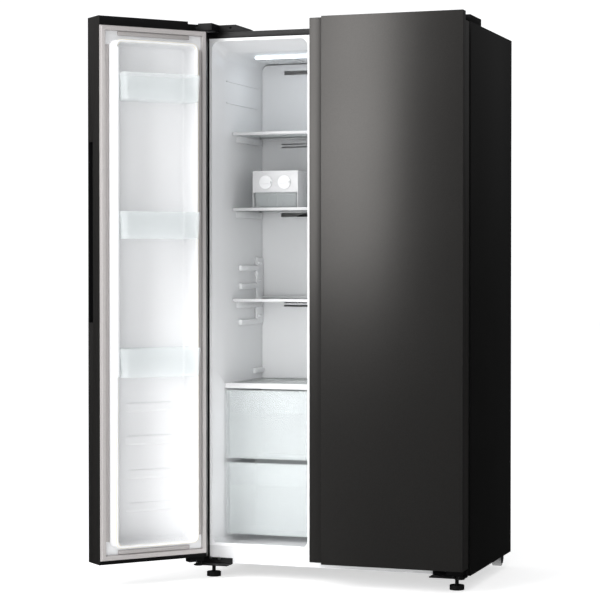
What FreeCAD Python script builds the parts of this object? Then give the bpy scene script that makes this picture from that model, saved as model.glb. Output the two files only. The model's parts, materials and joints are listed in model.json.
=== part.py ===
"""Side-by-side refrigerator with freezer (left) and fridge (right) compartments.

Millimetres. +Z up, the doors face -Y, the viewer's right is +X.
The origin lies on the floor, midway between the two front levelling feet.
The left door is modelled open, the right door closed: that is the rest position.
"""
import FreeCAD, Part
import math
import os
from FreeCAD import Vector

os.makedirs("parts", exist_ok=True)

# ---- overall sizes ----
overall_width = 910.0
cabinet_depth = 546.0
cabinet_bottom = 47.0
cabinet_top = 1761.0
door_bottom = 73.5
door_over_top = 25.0         # door top above the cabinet top
door_top = cabinet_top + door_over_top
door_front = 100.0           # door face ahead of the cabinet front plane
left_door_width = 385.0
door_split_gap = 20.0        # finger gap between the two doors

# ---- cabinet walls ----
sheet = 1.2                  # outer sheet metal
liner_wall = 1.5             # inner plastic liner
freezer_side_wall = 49.0     # outer side to freezer opening
fridge_side_wall = 49.0      # outer side to fridge opening
opening_past_door = 9.5      # freezer opening to the left door's free edge
freezer_opening_width = left_door_width - freezer_side_wall - opening_past_door
mullion_width = 45.0
opening_floor = 111.0        # height of the lower lip of both openings
top_rail = 29.0              # cabinet top to the openings
opening_top = cabinet_top - top_rail
ceiling_fall = 28.0          # fall of the ceiling over the front flare
ceiling_height = opening_top - ceiling_fall
ceiling_drop = 4.0           # further fall of the ceiling to the back
flare_depth = 95.0
wall_draft_front = 5.0       # side walls close in over the flare
wall_draft_back = 3.0        # and from there to the back
opening_corner_r = 25.0
liner_rim = 9.0              # width of the liner's front rim
cavity_depth = 498.0
bay_depth = 144.0            # machine compartment, from the back
bay_height = 277.0           # machine compartment, above the cabinet bottom
bay_insulation = 30.0        # foam between machine compartment and liners

# ---- doors ----
door_sheet = 1.0
door_flange_back = 14.0      # door liner flange behind the cabinet front plane
gasket_clear = 2.0           # gasket face to cabinet front plane
gasket_width = 30.0
gasket_bead = 13.0
gasket_hinge_inset = 14.5
gasket_bottom = 87.0
gasket_top = cabinet_top - 5.0
cap_top_height = 30.0
cap_bottom_height = 13.5
hinge_edge_chamfer = 13.0    # bevel on the hinge edge, room for the swing
hinge_from_side = 21.5
hinge_ahead = 48.4           # hinge axis ahead of the cabinet front plane
left_door_open = 130.5       # degrees
dike_height = 40.0           # door liner rim above the gasket face
dike_wall = 11.0
dike_corner_r = 22.0
recess_corner_r = 14.0
dike_hinge_inset = 63.0      # hinge edge to rim
dike_free_inset = 31.5       # free edge to rim
dike_bottom = 128.0
dike_top = cabinet_top - 50.0
door_recess = 45.0           # door liner floor below the gasket face
rib_bottoms = (229.0, 333.0, 441.0, 545.0)
rib_height = 32.0
rib_proud = 4.0
rib_hinge_inset = 33.0       # recess edge to rib end, hinge side
rib_free_inset = 55.0
bin_wall = 2.0
bin_corner_r = 12.0
bin_side_clear = 1.0
bin_slope = 30.0             # bevel of the left bins' lower rear edge
left_bin_reach = 40.0        # bin fronts ahead of the door liner's rim
right_bin_reach = 4.0
grip_bottom = 831.0
grip_top = door_top - 391.0
grip_from_front = 8.0
grip_width = 27.0
grip_depth = 14.0
grip_wall = 1.5
grip_step_width = 50.0       # set-back strip along the right door's free edge
grip_step_depth = 33.0

# ---- hinges ----
hinge_plate = 4.0
arm_r = 11.0                 # rounded end of the hinge plate around the pin
pin_r = 6.0
pin_clear = 0.06
bushing_r = 11.0
pin_engage = 26.0
cap_recess_clear = 2.5       # door cap recess below the hinge plate
nose_reach = 64.0            # hinge cover nose ahead of the front plane
nose_clear = 3.0             # door cap recess around the swept nose
nose_left = 5.0              # nose edge from the hinge axis, towards the cabinet's middle
pin_cap_r = 13.5             # low round cap over the hinge pin
pin_cap_height = 13.0
cover_hole_r = 3.0           # screw access hole in the cover's front
nose_right = 73.5            # nose edge from the cabinet side
cover_back = 138.0
cover_width = 128.0
cover_slant = 43.0
cover_height = 23.0
cover_wall = 2.0
cover_side_gap = 3.0
bracket_width = 112.0
bracket_flange = 16.0

# ---- feet and rollers ----
foot_from_side = 47.5
foot_back = 17.5
foot_r = 23.0
foot_pad = 15.0
plinth_fold = 4.0
stem_r = 6.0
stem_clear = 0.06
boss_r = 13.0
boss_height = 14.0
roller_r = 20.0
roller_width = 30.0
roller_from_side = 41.5
roller_from_back = 20.0
axle_r = 5.0
axle_clear = 0.06
roller_plate = 2.5
roller_side_clear = 0.6

# ---- shelves and drawers ----
shelf_front = 160.0
shelf_back = 434.0
shelf_rim = 10.0
shelf_glass = 4.0
shelf_side_clear = 1.0
shelf_shares = (0.765, 0.533, 0.2545)   # heights between the drawer cover and the ceiling
cover_shelf_top = 624.0
shelf_span = ceiling_height - cover_shelf_top
freezer_shelf_tops = [round(cover_shelf_top + share * shelf_span) for share in shelf_shares]
fridge_shelf_tops = list(freezer_shelf_tops)
cover_shelf_rim = 17.0
guide_wall = 4.0             # side guide panels beside the drawers
guide_top = 628.0
guide_slope = 55.0           # rise of the guide's top edge to the front
drawer_front = 93.0
drawer_side_clear = 1.0
drawer_wall = 2.5
upper_drawer_top = 602.0
upper_drawer_bottom = 377.0
upper_drawer_back = 430.0
lower_drawer_top = 364.5
lower_drawer_bottom = 128.0
lower_drawer_back = 362.0
pull_band = 75.0
back_panel_y = 440.0
back_panel_t = 3.0

# ---- ice maker ----
ice_width = 158.0
ice_left = 76.0              # freezer opening edge to housing
ice_front = 170.0
ice_depth = 230.0
ice_height = 71.0
ice_box_height = 49.0
ice_wall = 2.0
ice_gap = 0.5
knob_spacing = 65.0
knob_r = 22.0
knob_t = 4.0
tray_half_width = 28.0
tray_half_height = 10.0
tray_shaft_r = 5.0
tray_shaft_clear = 0.06

# ---- lamps and control panel ----
lamp_y = 216.0
lamp_length = 192.0
lamp_depth = 22.0
lamp_low = 8.0               # lens face below the ceiling's flare line
lamp_high = 2.6
control_width = 220.0
control_y = 100.0
control_depth = 82.0

# ---- evaporator and fans ----
coil_low = 700.0
coil_pitch = 45.0
coil_count = 7
coil_tube_r = 4.0
coil_fins = 19
fan_r = 54.0
fan_hub_r = 16.0
fan_depth = 18.0
fan_hole_r = 57.0
fan_shaft_r = 3.0
fan_shaft_clear = 0.06
fan_z = 1120.0

# ---- compressor, condenser and drip tray ----
comp_x = -270.0
comp_foot = 14.0
comp_r = 60.0
comp_height = 130.0
comp_shoulder_r = 26.0
cond_x0 = 40.0
cond_x1 = 330.0
cond_pitch = 34.0
cond_count = 6
cond_tube_r = 3.0
cond_fins = 14
fan_x = -60.0
drip_height = 30.0
drip_rise = 140.0            # drip tray's floor above the compressor's feet

# ---- rear grille ----
louvre_banks = (-330, -110, 110, 330)
louvre_rows = 7
louvre_length = 160.0
louvre_height = 8.0
louvre_pitch = 24.0

# ---- derived planes ----
half = overall_width / 2
freezer_l = -half + freezer_side_wall
freezer_r = freezer_l + freezer_opening_width
fridge_l = freezer_r + mullion_width
fridge_r = half - fridge_side_wall
right_door_width = overall_width - left_door_width - door_split_gap
hinge_x = -half + hinge_from_side
hinge_y = -hinge_ahead
flange_y = -door_flange_back
gasket_face = -gasket_clear
dike_y = gasket_face + dike_height
recess_y = gasket_face - door_recess
bay_front = cabinet_depth - bay_depth
bay_top = cabinet_bottom + bay_height
hump_front = bay_front - bay_insulation
hump_top = bay_top + bay_insulation + liner_wall
liner_floor = opening_floor - 5.0
duct_panel_bottom = hump_top + liner_wall + 1.0
UP = Vector(0, 0, 1)


# ---- helpers ----
def box(x0, x1, y0, y1, z0, z1):
    return Part.makeBox(x1 - x0, y1 - y0, z1 - z0, Vector(x0, y0, z0))


def cyl(r, x, y, z, h, axis=UP):
    return Part.makeCylinder(r, h, Vector(x, y, z), axis)


def fuse(shapes):
    first = shapes[0]
    if len(shapes) == 1:
        return first
    return first.multiFuse(shapes[1:]).removeSplitter()


def poly(points, z0, z1):
    """Prism over (x, y) points."""
    corners = [Vector(x, y, z0) for x, y in points]
    wire = Part.makePolygon(corners + [corners[0]])
    return Part.Face(wire).extrude(Vector(0, 0, z1 - z0))


def prism_x(points, x0, x1):
    """Prism over (y, z) points."""
    corners = [Vector(x0, y, z) for y, z in points]
    wire = Part.makePolygon(corners + [corners[0]])
    return Part.Face(wire).extrude(Vector(x1 - x0, 0, 0))


def rounded_wire(x0, x1, z0, z1, r, y):
    """Rounded rectangle in the XZ plane at y."""
    k = r * (1 - math.sqrt(0.5))
    def v(x, z):
        return Vector(x, y, z)
    edges = [
        Part.LineSegment(v(x0 + r, z0), v(x1 - r, z0)).toShape(),
        Part.Arc(v(x1 - r, z0), v(x1 - k, z0 + k), v(x1, z0 + r)).toShape(),
        Part.LineSegment(v(x1, z0 + r), v(x1, z1 - r)).toShape(),
        Part.Arc(v(x1, z1 - r), v(x1 - k, z1 - k), v(x1 - r, z1)).toShape(),
        Part.LineSegment(v(x1 - r, z1), v(x0 + r, z1)).toShape(),
        Part.Arc(v(x0 + r, z1), v(x0 + k, z1 - k), v(x0, z1 - r)).toShape(),
        Part.LineSegment(v(x0, z1 - r), v(x0, z0 + r)).toShape(),
        Part.Arc(v(x0, z0 + r), v(x0 + k, z0 + k), v(x0 + r, z0)).toShape(),
    ]
    return Part.Wire(edges)


def slab(x0, x1, y0, y1, z0, z1, r):
    """Rounded rectangle in XZ, extruded from y0 to y1."""
    face = Part.Face(rounded_wire(x0, x1, z0, z1, r, y0))
    return face.extrude(Vector(0, y1 - y0, 0))


def mirrored(shape):
    return shape.mirror(Vector(0, 0, 0), Vector(1, 0, 0))


def tray(x0, x1, y0, y1, z0, z1, wall, r=6.0, slope=0.0):
    """Open-topped box with rounded upright corners; slope bevels the lower rear edge."""
    outer = box(x0, x1, y0, y1, z0, z1)
    upright = [e for e in outer.Edges if abs(e.tangentAt(e.FirstParameter).z) > 0.9]
    outer = outer.makeFillet(r, upright)
    inner = box(x0 + wall, x1 - wall, y0 + wall, y1 - wall, z0 + wall, z1 + 1)
    upright = [e for e in inner.Edges if abs(e.tangentAt(e.FirstParameter).z) > 0.9]
    inner = inner.makeFillet(max(r - wall, 0.5), upright)
    if slope:
        rise = slope + wall * math.sqrt(2) - wall
        a, b = y0 + wall, z0 + wall
        outer = outer.cut(prism_x([(y0, z0), (y0 + slope, z0), (y0, z0 + slope)], x0, x1))
        inner = inner.cut(prism_x([(a, b), (a + rise - wall, b), (a, b + rise - wall)], x0, x1))
    return outer.cut(inner)


def put(name, shape):
    """Write one piece, moved from the cabinet front plane to the origin at the feet."""
    moved = shape.copy()
    moved.translate(Vector(0, -foot_back, 0))
    if not moved.isValid():
        raise ValueError(name + " is not a valid shape")
    moved.exportStep("parts/" + name + ".step")


# ---- cabinet ----
def cavity(x0, x1, grow):
    """Inner space of one compartment; grow is the liner's thickness around it."""
    front = rounded_wire(
        x0 - grow, x1 + grow, liner_floor - grow, opening_top + grow, opening_corner_r + grow, 0
    )
    d = wall_draft_front
    middle = rounded_wire(
        x0 + d - grow, x1 - d + grow, liner_floor - grow, ceiling_height + grow,
        opening_corner_r + grow, flare_depth,
    )
    d = d + wall_draft_back
    back = rounded_wire(
        x0 + d - grow, x1 - d + grow, liner_floor - grow, ceiling_height - ceiling_drop + grow,
        opening_corner_r + grow, cavity_depth + grow,
    )
    space = Part.makeLoft([front, middle, back], True, True)
    hump = box(
        x0 - 20, x1 + 20, hump_front - liner_wall + grow, cavity_depth + 20,
        liner_floor - 20, hump_top - grow + liner_wall,
    )
    return space.cut(hump)


def guide(x0, x1):
    """Side guide panels beside the drawers, as part of the liner."""
    side = prism_x(
        [
            (4, liner_floor - 1),
            (4, guide_top + guide_slope),
            (drawer_front - 14, guide_top),
            (back_panel_y - 2, guide_top),
            (back_panel_y - 2, liner_floor - 1),
        ],
        x0 - 10, x1 + 10,
    )
    reach = wall_draft_front + guide_wall
    near = drawer_front - 14
    left = poly([(x0 - 1, 4), (x0 + reach, near), (x0 + reach, back_panel_y), (x0 - 1, back_panel_y)],
                liner_floor - 1, guide_top + guide_slope)
    right = poly([(x1 + 1, 4), (x1 - reach, near), (x1 - reach, back_panel_y), (x1 + 1, back_panel_y)],
                 liner_floor - 1, guide_top + guide_slope)
    return side.common(left), side.common(right)


def liner(x0, x1):
    outer = cavity(x0, x1, liner_wall)
    inner = cavity(x0, x1, 0.0)
    rim = box(x0 - liner_rim, x1 + liner_rim, 0, liner_wall, opening_floor - liner_rim,
              opening_top + liner_rim)
    lip = box(x0 - 1, x1 + 1, 0, 10, liner_floor - 3, opening_floor)
    ledges = [g.common(outer) for g in guide(x0, x1)]
    body = fuse([outer, rim])
    body = body.cut(inner)
    hollow = fuse([body] + [lip.common(outer)] + ledges)
    return hollow


freezer_liner = liner(freezer_l, freezer_r)
fridge_liner = liner(fridge_l, fridge_r)
put("freezer_liner", freezer_liner)
put("fridge_liner", fridge_liner)

wrapper = box(-half, half, 0, cabinet_depth, cabinet_bottom, cabinet_top)
wrapper = wrapper.cut(box(-half + sheet, half - sheet, sheet, cabinet_depth + 1, 0, cabinet_top - sheet))
window_l = -half + freezer_side_wall - liner_rim
window_r = half - fridge_side_wall + liner_rim
plinth_top = opening_floor - liner_rim
wrapper = wrapper.cut(box(window_l, window_r, -1, sheet + 1, 0, opening_top + liner_rim))
put("cabinet_shell", wrapper)

mullion = box(
    freezer_r + liner_rim, fridge_l - liner_rim, 0, sheet, plinth_top, opening_top + liner_rim
)
rail = box(
    freezer_r + liner_rim + 2, fridge_l - liner_rim - 2, sheet, 9, plinth_top + 20, opening_top - 20
)
put("mullion_plate", fuse([mullion, rail]))

plinth = box(window_l, window_r, 0, sheet, cabinet_bottom, plinth_top)
fold = box(-half + sheet, half - sheet, sheet, plinth_fold, cabinet_bottom, cabinet_bottom + sheet)
put("front_plinth", fuse([plinth, fold]))

base_floor = box(-half + sheet, half - sheet, plinth_fold, bay_front, cabinet_bottom, cabinet_bottom + sheet)
bay_wall = box(-half + sheet, half - sheet, bay_front - sheet, bay_front, cabinet_bottom, bay_top)
bay_deck = box(
    -half + sheet, half - sheet, bay_front - sheet, cabinet_depth - sheet, bay_top - sheet, bay_top
)
machine_plate = box(
    -half + sheet, half - sheet, bay_front - sheet, cabinet_depth - sheet, cabinet_bottom,
    cabinet_bottom + 2 * sheet,
)
foot_x = half - foot_from_side
bosses = []
for side in (-1, 1):
    boss = cyl(boss_r, side * foot_x, foot_back, cabinet_bottom - boss_height + 2, boss_height)
    bosses.append(boss)
base = fuse([base_floor, bay_wall, bay_deck, machine_plate] + bosses)
for side in (-1, 1):
    bore = cyl(stem_r + stem_clear, side * foot_x, foot_back, 0, cabinet_bottom + 60)
    base = base.cut(bore)
put("base_frame", base)

back = box(-half + sheet, half - sheet, cabinet_depth - sheet, cabinet_depth, bay_top, cabinet_top - sheet)
put("back_panel", back)

foam = box(-half + sheet, half - sheet, sheet, cabinet_depth - sheet, cabinet_bottom + sheet,
           cabinet_top - sheet)
foam = foam.cut(box(-half, half, bay_front - sheet, cabinet_depth, 0, bay_top))
foam = foam.cut(cavity(freezer_l, freezer_r, liner_wall))
foam = foam.cut(cavity(fridge_l, fridge_r, liner_wall))
foam = foam.cut(rail)
for x0, x1 in ((freezer_l, freezer_r), (fridge_l, fridge_r)):
    rim = box(x0 - liner_rim, x1 + liner_rim, 0, liner_wall, opening_floor - liner_rim,
              opening_top + liner_rim)
    foam = foam.cut(rim)
stem_top = cabinet_bottom + 12
for side in (-1, 1):
    foam = foam.cut(cyl(boss_r, side * foot_x, foot_back, cabinet_bottom, stem_top - cabinet_bottom + 3))
put("cabinet_insulation", foam)

# ---- levelling feet and rear rollers ----
for side, word in ((-1, "left"), (1, "right")):
    pad = cyl(foot_r, side * foot_x, foot_back, 0, foot_pad)
    rims = [e for e in pad.Edges if e.Closed and e.BoundBox.ZMin > foot_pad / 2]
    pad = pad.makeFillet(1.5, rims)
    stem = cyl(stem_r, side * foot_x, foot_back, foot_pad, stem_top - foot_pad)
    put("levelling_foot_" + word, fuse([pad, stem]))

roller_x = half - roller_from_side
roller_y = cabinet_depth - roller_from_back
plates = []
X = Vector(1, 0, 0)
for side, word in ((-1, "left"), (1, "right")):
    x0 = side * roller_x - roller_width / 2
    wheel = cyl(roller_r, x0, roller_y, roller_r, roller_width, X)
    rims = [e for e in wheel.Edges if e.Closed]
    wheel = wheel.makeFillet(2.0, rims)
    wheel = wheel.cut(cyl(axle_r + axle_clear, x0 - 1, roller_y, roller_r, roller_width + 2, X))
    put("rear_roller_" + word, wheel)
    cheeks = []
    for edge in (x0 - roller_side_clear - roller_plate, x0 + roller_width + roller_side_clear):
        upper = box(edge, edge + roller_plate, roller_y - 16, roller_y + 16, roller_r, cabinet_bottom)
        lower = cyl(11, edge, roller_y, roller_r, roller_plate, X)
        cheeks.append(fuse([upper, lower]))
    bridge = box(
        x0 - roller_side_clear - roller_plate, x0 + roller_width + roller_side_clear + roller_plate,
        roller_y - 16, roller_y + 16, cabinet_bottom - roller_plate, cabinet_bottom,
    )
    axle_end = roller_side_clear + roller_plate + 1.5
    axle = cyl(axle_r, x0 - axle_end, roller_y, roller_r, roller_width + 2 * axle_end, X)
    plates.append(fuse(cheeks + [bridge, axle]))
put("roller_brackets", Part.makeCompound(plates))


# ---- hinges ----
def hinge_side(shape_left):
    """The left-hand shape and its mirror image."""
    return [shape_left, mirrored(shape_left)]


plate_low = cabinet_top
plate_high = cabinet_top + hinge_plate
arm = poly(
    [
        (hinge_x - arm_r, hinge_y), (hinge_x - arm_r + 1.5, hinge_y + 6), (hinge_x + 7, hinge_y + 33),
        (hinge_x + 10, 4), (hinge_x - arm_r, 8), (hinge_x - arm_r, cover_back - 20),
        (hinge_x + 84, cover_back - 20), (hinge_x + 84, 8), (hinge_x + 42, 2),
        (hinge_x + arm_r, hinge_y),
    ],
    plate_low, plate_high,
)
arm_end = cyl(arm_r, hinge_x, hinge_y, plate_low, hinge_plate)
top_pin = cyl(pin_r, hinge_x, hinge_y, plate_low - pin_engage, pin_engage + hinge_plate)
top_hinge = fuse([arm, arm_end, top_pin])
put("top_hinge_plates", Part.makeCompound(hinge_side(top_hinge)))

screws = []
for sx, sy in ((10, 60), (60, 60), (35, 100)):
    head = Part.makeCylinder(6, 3.5, Vector(hinge_x + sx, sy, plate_high), UP)
    screws += hinge_side(head)
put("hinge_screws", Part.makeCompound(screws))

cover_l = -half + cover_side_gap
cover_r = cover_l + cover_width
nose_r = -half + nose_right


def cover_block(inset, low, high):
    """Hinge cover: slanted on its inner side, with a nose over the door's hinge pin."""
    main = Part.Face(Part.makePolygon([
        Vector(cover_l + inset, inset, low),
        Vector(cover_r + cover_slant - inset, inset, low),
        Vector(cover_r - inset, inset, high),
        Vector(cover_l + inset, inset, high),
        Vector(cover_l + inset, inset, low),
    ])).extrude(Vector(0, cover_back - 2 * inset, 0))
    nose = poly(
        [
            (hinge_x + nose_left + inset, -nose_reach + inset),
            (hinge_x + nose_left + inset, hinge_y + 20),
            (hinge_x + 8 + inset, inset + 2),
            (nose_r - inset, inset + 2),
            (nose_r - inset, -nose_reach + inset),
        ],
        low, high,
    )
    return fuse([main, nose])


cover_top = cabinet_top + cover_height
cover_out = cover_block(0, cabinet_top, cover_top)
cover_in = cover_block(cover_wall, cabinet_top - 1, cover_top - cover_wall)
pin_cap = cyl(pin_cap_r, hinge_x, hinge_y, cabinet_top, pin_cap_height)
pin_cap = pin_cap.cut(cyl(arm_r + 0.5, hinge_x, hinge_y, cabinet_top - 1, hinge_plate + 1.5))
pin_cap = pin_cap.cut(box(hinge_x - arm_r - 0.5, hinge_x + 40, hinge_y, hinge_y + 40, cabinet_top - 1,
                          plate_high + 0.5))
cover = cover_out.fuse(pin_cap).cut(cover_in)
arm_room = box(hinge_x - 1, hinge_x + nose_left + 9, hinge_y - arm_r - 0.5, 2, cabinet_top - 1,
               plate_high + 0.5)
cover = cover.cut(arm_room)
access_hole = Part.makeCylinder(cover_hole_r, 8, Vector(cover_r - 18, -4, cabinet_top + 13), Vector(0, 1, 0))
cover = cover.cut(access_hole)
put("hinge_covers", Part.makeCompound(hinge_side(cover)))

bracket_high = cabinet_bottom
bracket_low = cabinet_bottom - hinge_plate
bracket = box(-half + 8, -half + 8 + bracket_width, hinge_y - 2, 0, bracket_low, bracket_high)
bracket_nose = cyl(16, hinge_x, hinge_y - 2, bracket_low, hinge_plate)
bracket_back = box(-half + 8, -half + 8 + bracket_width, -3, 0, bracket_low, bracket_high + bracket_flange)
pin_top = door_bottom + pin_engage - 4
bottom_pin = cyl(pin_r, hinge_x, hinge_y, bracket_low, pin_top - bracket_low)
collar = cyl(10, hinge_x, hinge_y, bracket_high, 5)
bottom_hinge = fuse([bracket, bracket_nose, bracket_back, bottom_pin, collar])
put("bottom_hinge_brackets", Part.makeCompound(hinge_side(bottom_hinge)))


# ---- doors ----
def outline(width, inset, back, step):
    """Door plan outline, hinge edge at x = -half; step is the set-back strip's width."""
    x0 = -half + inset
    x1 = -half + width - inset
    front = -door_front + inset
    chamfer = hinge_edge_chamfer
    points = [(x0, back - chamfer), (x0, front)]
    if step:
        side = -half + width - step - inset
        floor = -door_front + grip_step_depth + inset
        points += [(side, front), (side, floor), (x1, floor)]
    else:
        points += [(x1, front)]
    points += [(x1, back), (x0 + chamfer, back)]
    return points


def door(width, step, bins):
    """All pieces of one door, hinged on the left, closed."""
    left = -half
    free = -half + width
    zb = door_bottom
    zt = door_top
    cap_low = zb + cap_bottom_height
    cap_high = zt - cap_top_height
    pieces = {}
    # grip channel in the free edge, or in the side of the raised panel
    gx = free - step
    gy0 = -door_front + grip_from_front
    gy1 = gy0 + grip_width
    if step:
        gy0 = -door_front + 4
        gy1 = -door_front + grip_step_depth - 2
    pocket = box(gx - grip_depth - grip_wall, gx + 1, gy0 - grip_wall, gy1 + grip_wall,
                 grip_bottom - grip_wall, grip_top + grip_wall)
    channel = pocket.common(box(gx - 60, gx, -door_front, 0, 0, 3000))
    channel = channel.cut(box(gx - grip_depth, gx + 1, gy0, gy1, grip_bottom, grip_top))
    pieces["grip"] = channel
    # outer skin
    skin = poly(outline(width, 0, flange_y, step), zb, zt)
    core = poly(outline(width, door_sheet, flange_y, step), zb, zt)
    core = core.fuse(box(left + 13 + door_sheet, free - door_sheet, flange_y - 5, flange_y + 1, zb, zt))
    skin = skin.cut(core).cut(pocket)
    if step:
        strip_low = box(free - step, free + 1, -door_front, -door_front + grip_step_depth + door_sheet,
                        zb, zt)
        strip = skin.common(strip_low)
        skin = skin.cut(strip_low)
        pieces["grip_strip"] = strip
    pieces["skin"] = skin
    # end caps
    inner = outline(width, door_sheet, flange_y, step)
    recess_z = cabinet_top - cap_recess_clear
    top_cap = poly(inner, cap_high, zt - 1.0)
    top_cap = top_cap.fuse(box(left + 13, free, flange_y, flange_y + 2, cap_high, zt - 1.0))
    sweep = math.hypot(nose_right - hinge_from_side, hinge_ahead + flange_y + 2) + nose_clear
    near = max(pin_cap_r, nose_reach - hinge_ahead) + nose_clear
    recess = cyl(sweep, hinge_x, hinge_y, recess_z, 60).common(
        box(left - 60, left + 160, hinge_y - near, 60, recess_z, zt + 10))
    top_cap = top_cap.cut(recess)
    top_bush = cyl(bushing_r, hinge_x, hinge_y, plate_low - pin_engage - 3,
                   recess_z - (plate_low - pin_engage - 3))
    top_cap = top_cap.fuse(top_bush)
    top_cap = top_cap.cut(cyl(pin_r + pin_clear, hinge_x, hinge_y, plate_low - pin_engage - 0.5, 60))
    pieces["top_cap"] = top_cap.removeSplitter()
    pieces["skin"] = pieces["skin"].cut(recess)
    low_cap = poly(inner, zb + 1.0, cap_low)
    low_cap = low_cap.fuse(box(left + 13, free, flange_y, flange_y + 2, zb + 1.0, cap_low))
    low_bush = cyl(bushing_r, hinge_x, hinge_y, zb + 1.0, pin_engage)
    cam = box(left + 10, left + 62, hinge_y - 14, hinge_y + 14, cabinet_bottom + 9, zb + 1.0)
    low_cap = low_cap.fuse(low_bush).fuse(cam)
    low_cap = low_cap.cut(cyl(pin_r + pin_clear, hinge_x, hinge_y, 0, pin_top + 0.5))
    pieces["bottom_cap"] = low_cap.removeSplitter()
    # inner liner with raised rim and recess
    dx0 = left + dike_hinge_inset
    dx1 = free - dike_free_inset
    flange = box(left + 13 + door_sheet, free - door_sheet, flange_y - liner_wall, flange_y, cap_low,
                 cap_high)
    dike = slab(dx0, dx1, flange_y - liner_wall, dike_y, dike_bottom, dike_top, dike_corner_r)
    hollow_x0 = dx0 + dike_wall
    hollow_x1 = dx1 - dike_wall
    hollow_z0 = dike_bottom + dike_wall
    hollow_z1 = dike_top - dike_wall
    hollow = slab(hollow_x0, hollow_x1, recess_y, dike_y + 1, hollow_z0, hollow_z1, recess_corner_r)
    sump = slab(hollow_x0 - liner_wall, hollow_x1 + liner_wall, recess_y - liner_wall, flange_y,
                hollow_z0 - liner_wall, hollow_z1 + liner_wall, recess_corner_r + liner_wall)
    groove = slab(dx0 + liner_wall, dx1 - liner_wall, flange_y - liner_wall - 1, dike_y - liner_wall,
                  dike_bottom + liner_wall, dike_top - liner_wall, dike_corner_r - liner_wall)
    cheek = slab(hollow_x0 - liner_wall, hollow_x1 + liner_wall, recess_y - liner_wall, dike_y + 1,
                 hollow_z0 - liner_wall, hollow_z1 + liner_wall, recess_corner_r + liner_wall)
    pad = groove.cut(cheek)
    shell = flange.fuse(dike).fuse(sump)
    shell = shell.cut(hollow).cut(pad)
    ribs = []
    for low in rib_bottoms:
        ribs.append(box(hollow_x0 + rib_hinge_inset, hollow_x1 - rib_free_inset, recess_y - 0.5,
                        recess_y + rib_proud, low, low + rib_height))
    shell = fuse([shell] + ribs)
    pieces["liner"] = shell
    # insulation, also inside the raised rim
    core = poly(outline(width, door_sheet, flange_y - liner_wall, step), cap_low, cap_high)
    core = core.cut(sump).cut(pocket)
    core = core.cut(cyl(bushing_r, hinge_x, hinge_y, plate_low - pin_engage - 3, 100))
    core = core.cut(cyl(bushing_r, hinge_x, hinge_y, zb, pin_engage + 1.0))
    core = core.cut(poly(outline(width, door_sheet, flange_y, 0), 0, cap_low))
    rim_foam = pad.cut(box(left, free, flange_y - 20, flange_y - liner_wall, 0, 3000))
    pieces["insulation"] = Part.makeCompound([core, rim_foam])
    # gasket: a magnetic bead and a thinner inner band
    gx0 = left + gasket_hinge_inset
    gx1 = free - 1.0
    g = gasket_bead
    w = gasket_width
    outer = box(gx0, gx1, flange_y, gasket_face, gasket_bottom, gasket_top)
    outer = outer.cut(box(gx0 + g, gx1 - g, flange_y - 1, 1, gasket_bottom + g, gasket_top - g))
    band = box(gx0, gx1, flange_y, flange_y + 6, gasket_bottom, gasket_top)
    band = band.cut(box(gx0 + w, gx1 - w, flange_y - 1, 1, gasket_bottom + w, gasket_top - w))
    seal = outer.fuse(band)
    seal = seal.cut(box(left, free, flange_y - 1, flange_y + 2.0, 0, gasket_bottom + 0.6))
    pieces["gasket"] = seal.removeSplitter()
    # bins
    shapes = []
    for low, high, reach, slope in bins:
        bin_tray = tray(hollow_x0 + bin_side_clear, hollow_x1 - bin_side_clear, recess_y + 4.5,
                        dike_y + reach, low, high, bin_wall, bin_corner_r, bin_slope if slope else 0.0)
        shapes.append(bin_tray)
    pieces["bins"] = shapes
    return pieces


def bin_rows(rows, reach, slope):
    """Bottom, top, reach and rear bevel of each bin; a row is its fall below the rim's top and height."""
    span = dike_top - dike_bottom
    lows = [(round(dike_top - share * span), height) for share, height in rows]
    return [(low, low + height, reach, slope) for low, height in lows]


left_bins = bin_rows(((0.12, 85.0), (0.3915, 86.0), (0.664, 90.0)), left_bin_reach, True)
right_bins = bin_rows(((0.1333, 86.0), (0.3355, 88.0), (0.5376, 88.0), (0.8914, 100.0)), right_bin_reach,
                      False)
left = door(left_door_width, 0.0, left_bins)
right = door(right_door_width, grip_step_width, right_bins)


def swing(shape):
    turned = shape.copy()
    turned.rotate(Vector(hinge_x, hinge_y, 0), UP, -left_door_open)
    return turned


for key, shape in left.items():
    if key == "bins":
        put("left_door_bins", Part.makeCompound([swing(s) for s in shape]))
    else:
        put("left_door_" + key, swing(shape))
for key, shape in right.items():
    if key == "bins":
        put("right_door_bins", Part.makeCompound([mirrored(s) for s in shape]))
    else:
        put("right_door_" + key, mirrored(shape))


# ---- compartment fittings ----
def shelf(x0, x1, top, rim, front, rear):
    """Glass panel and its front and rear trims."""
    glass = box(x0, x1, front + 8, rear - 8, top - 1 - shelf_glass, top - 1)
    nose = box(x0, x1, front, front + 16, top - rim, top)
    tail = box(x0, x1, rear - 16, rear, top - rim, top + 6)
    frame = nose.fuse(tail).cut(glass)
    return glass, frame


def wall_x(edge, inward, y):
    """Side wall position at depth y."""
    if y <= flare_depth:
        return edge + inward * wall_draft_front * y / flare_depth
    t = (y - flare_depth) / (cavity_depth - flare_depth)
    return edge + inward * (wall_draft_front + wall_draft_back * t)


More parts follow.
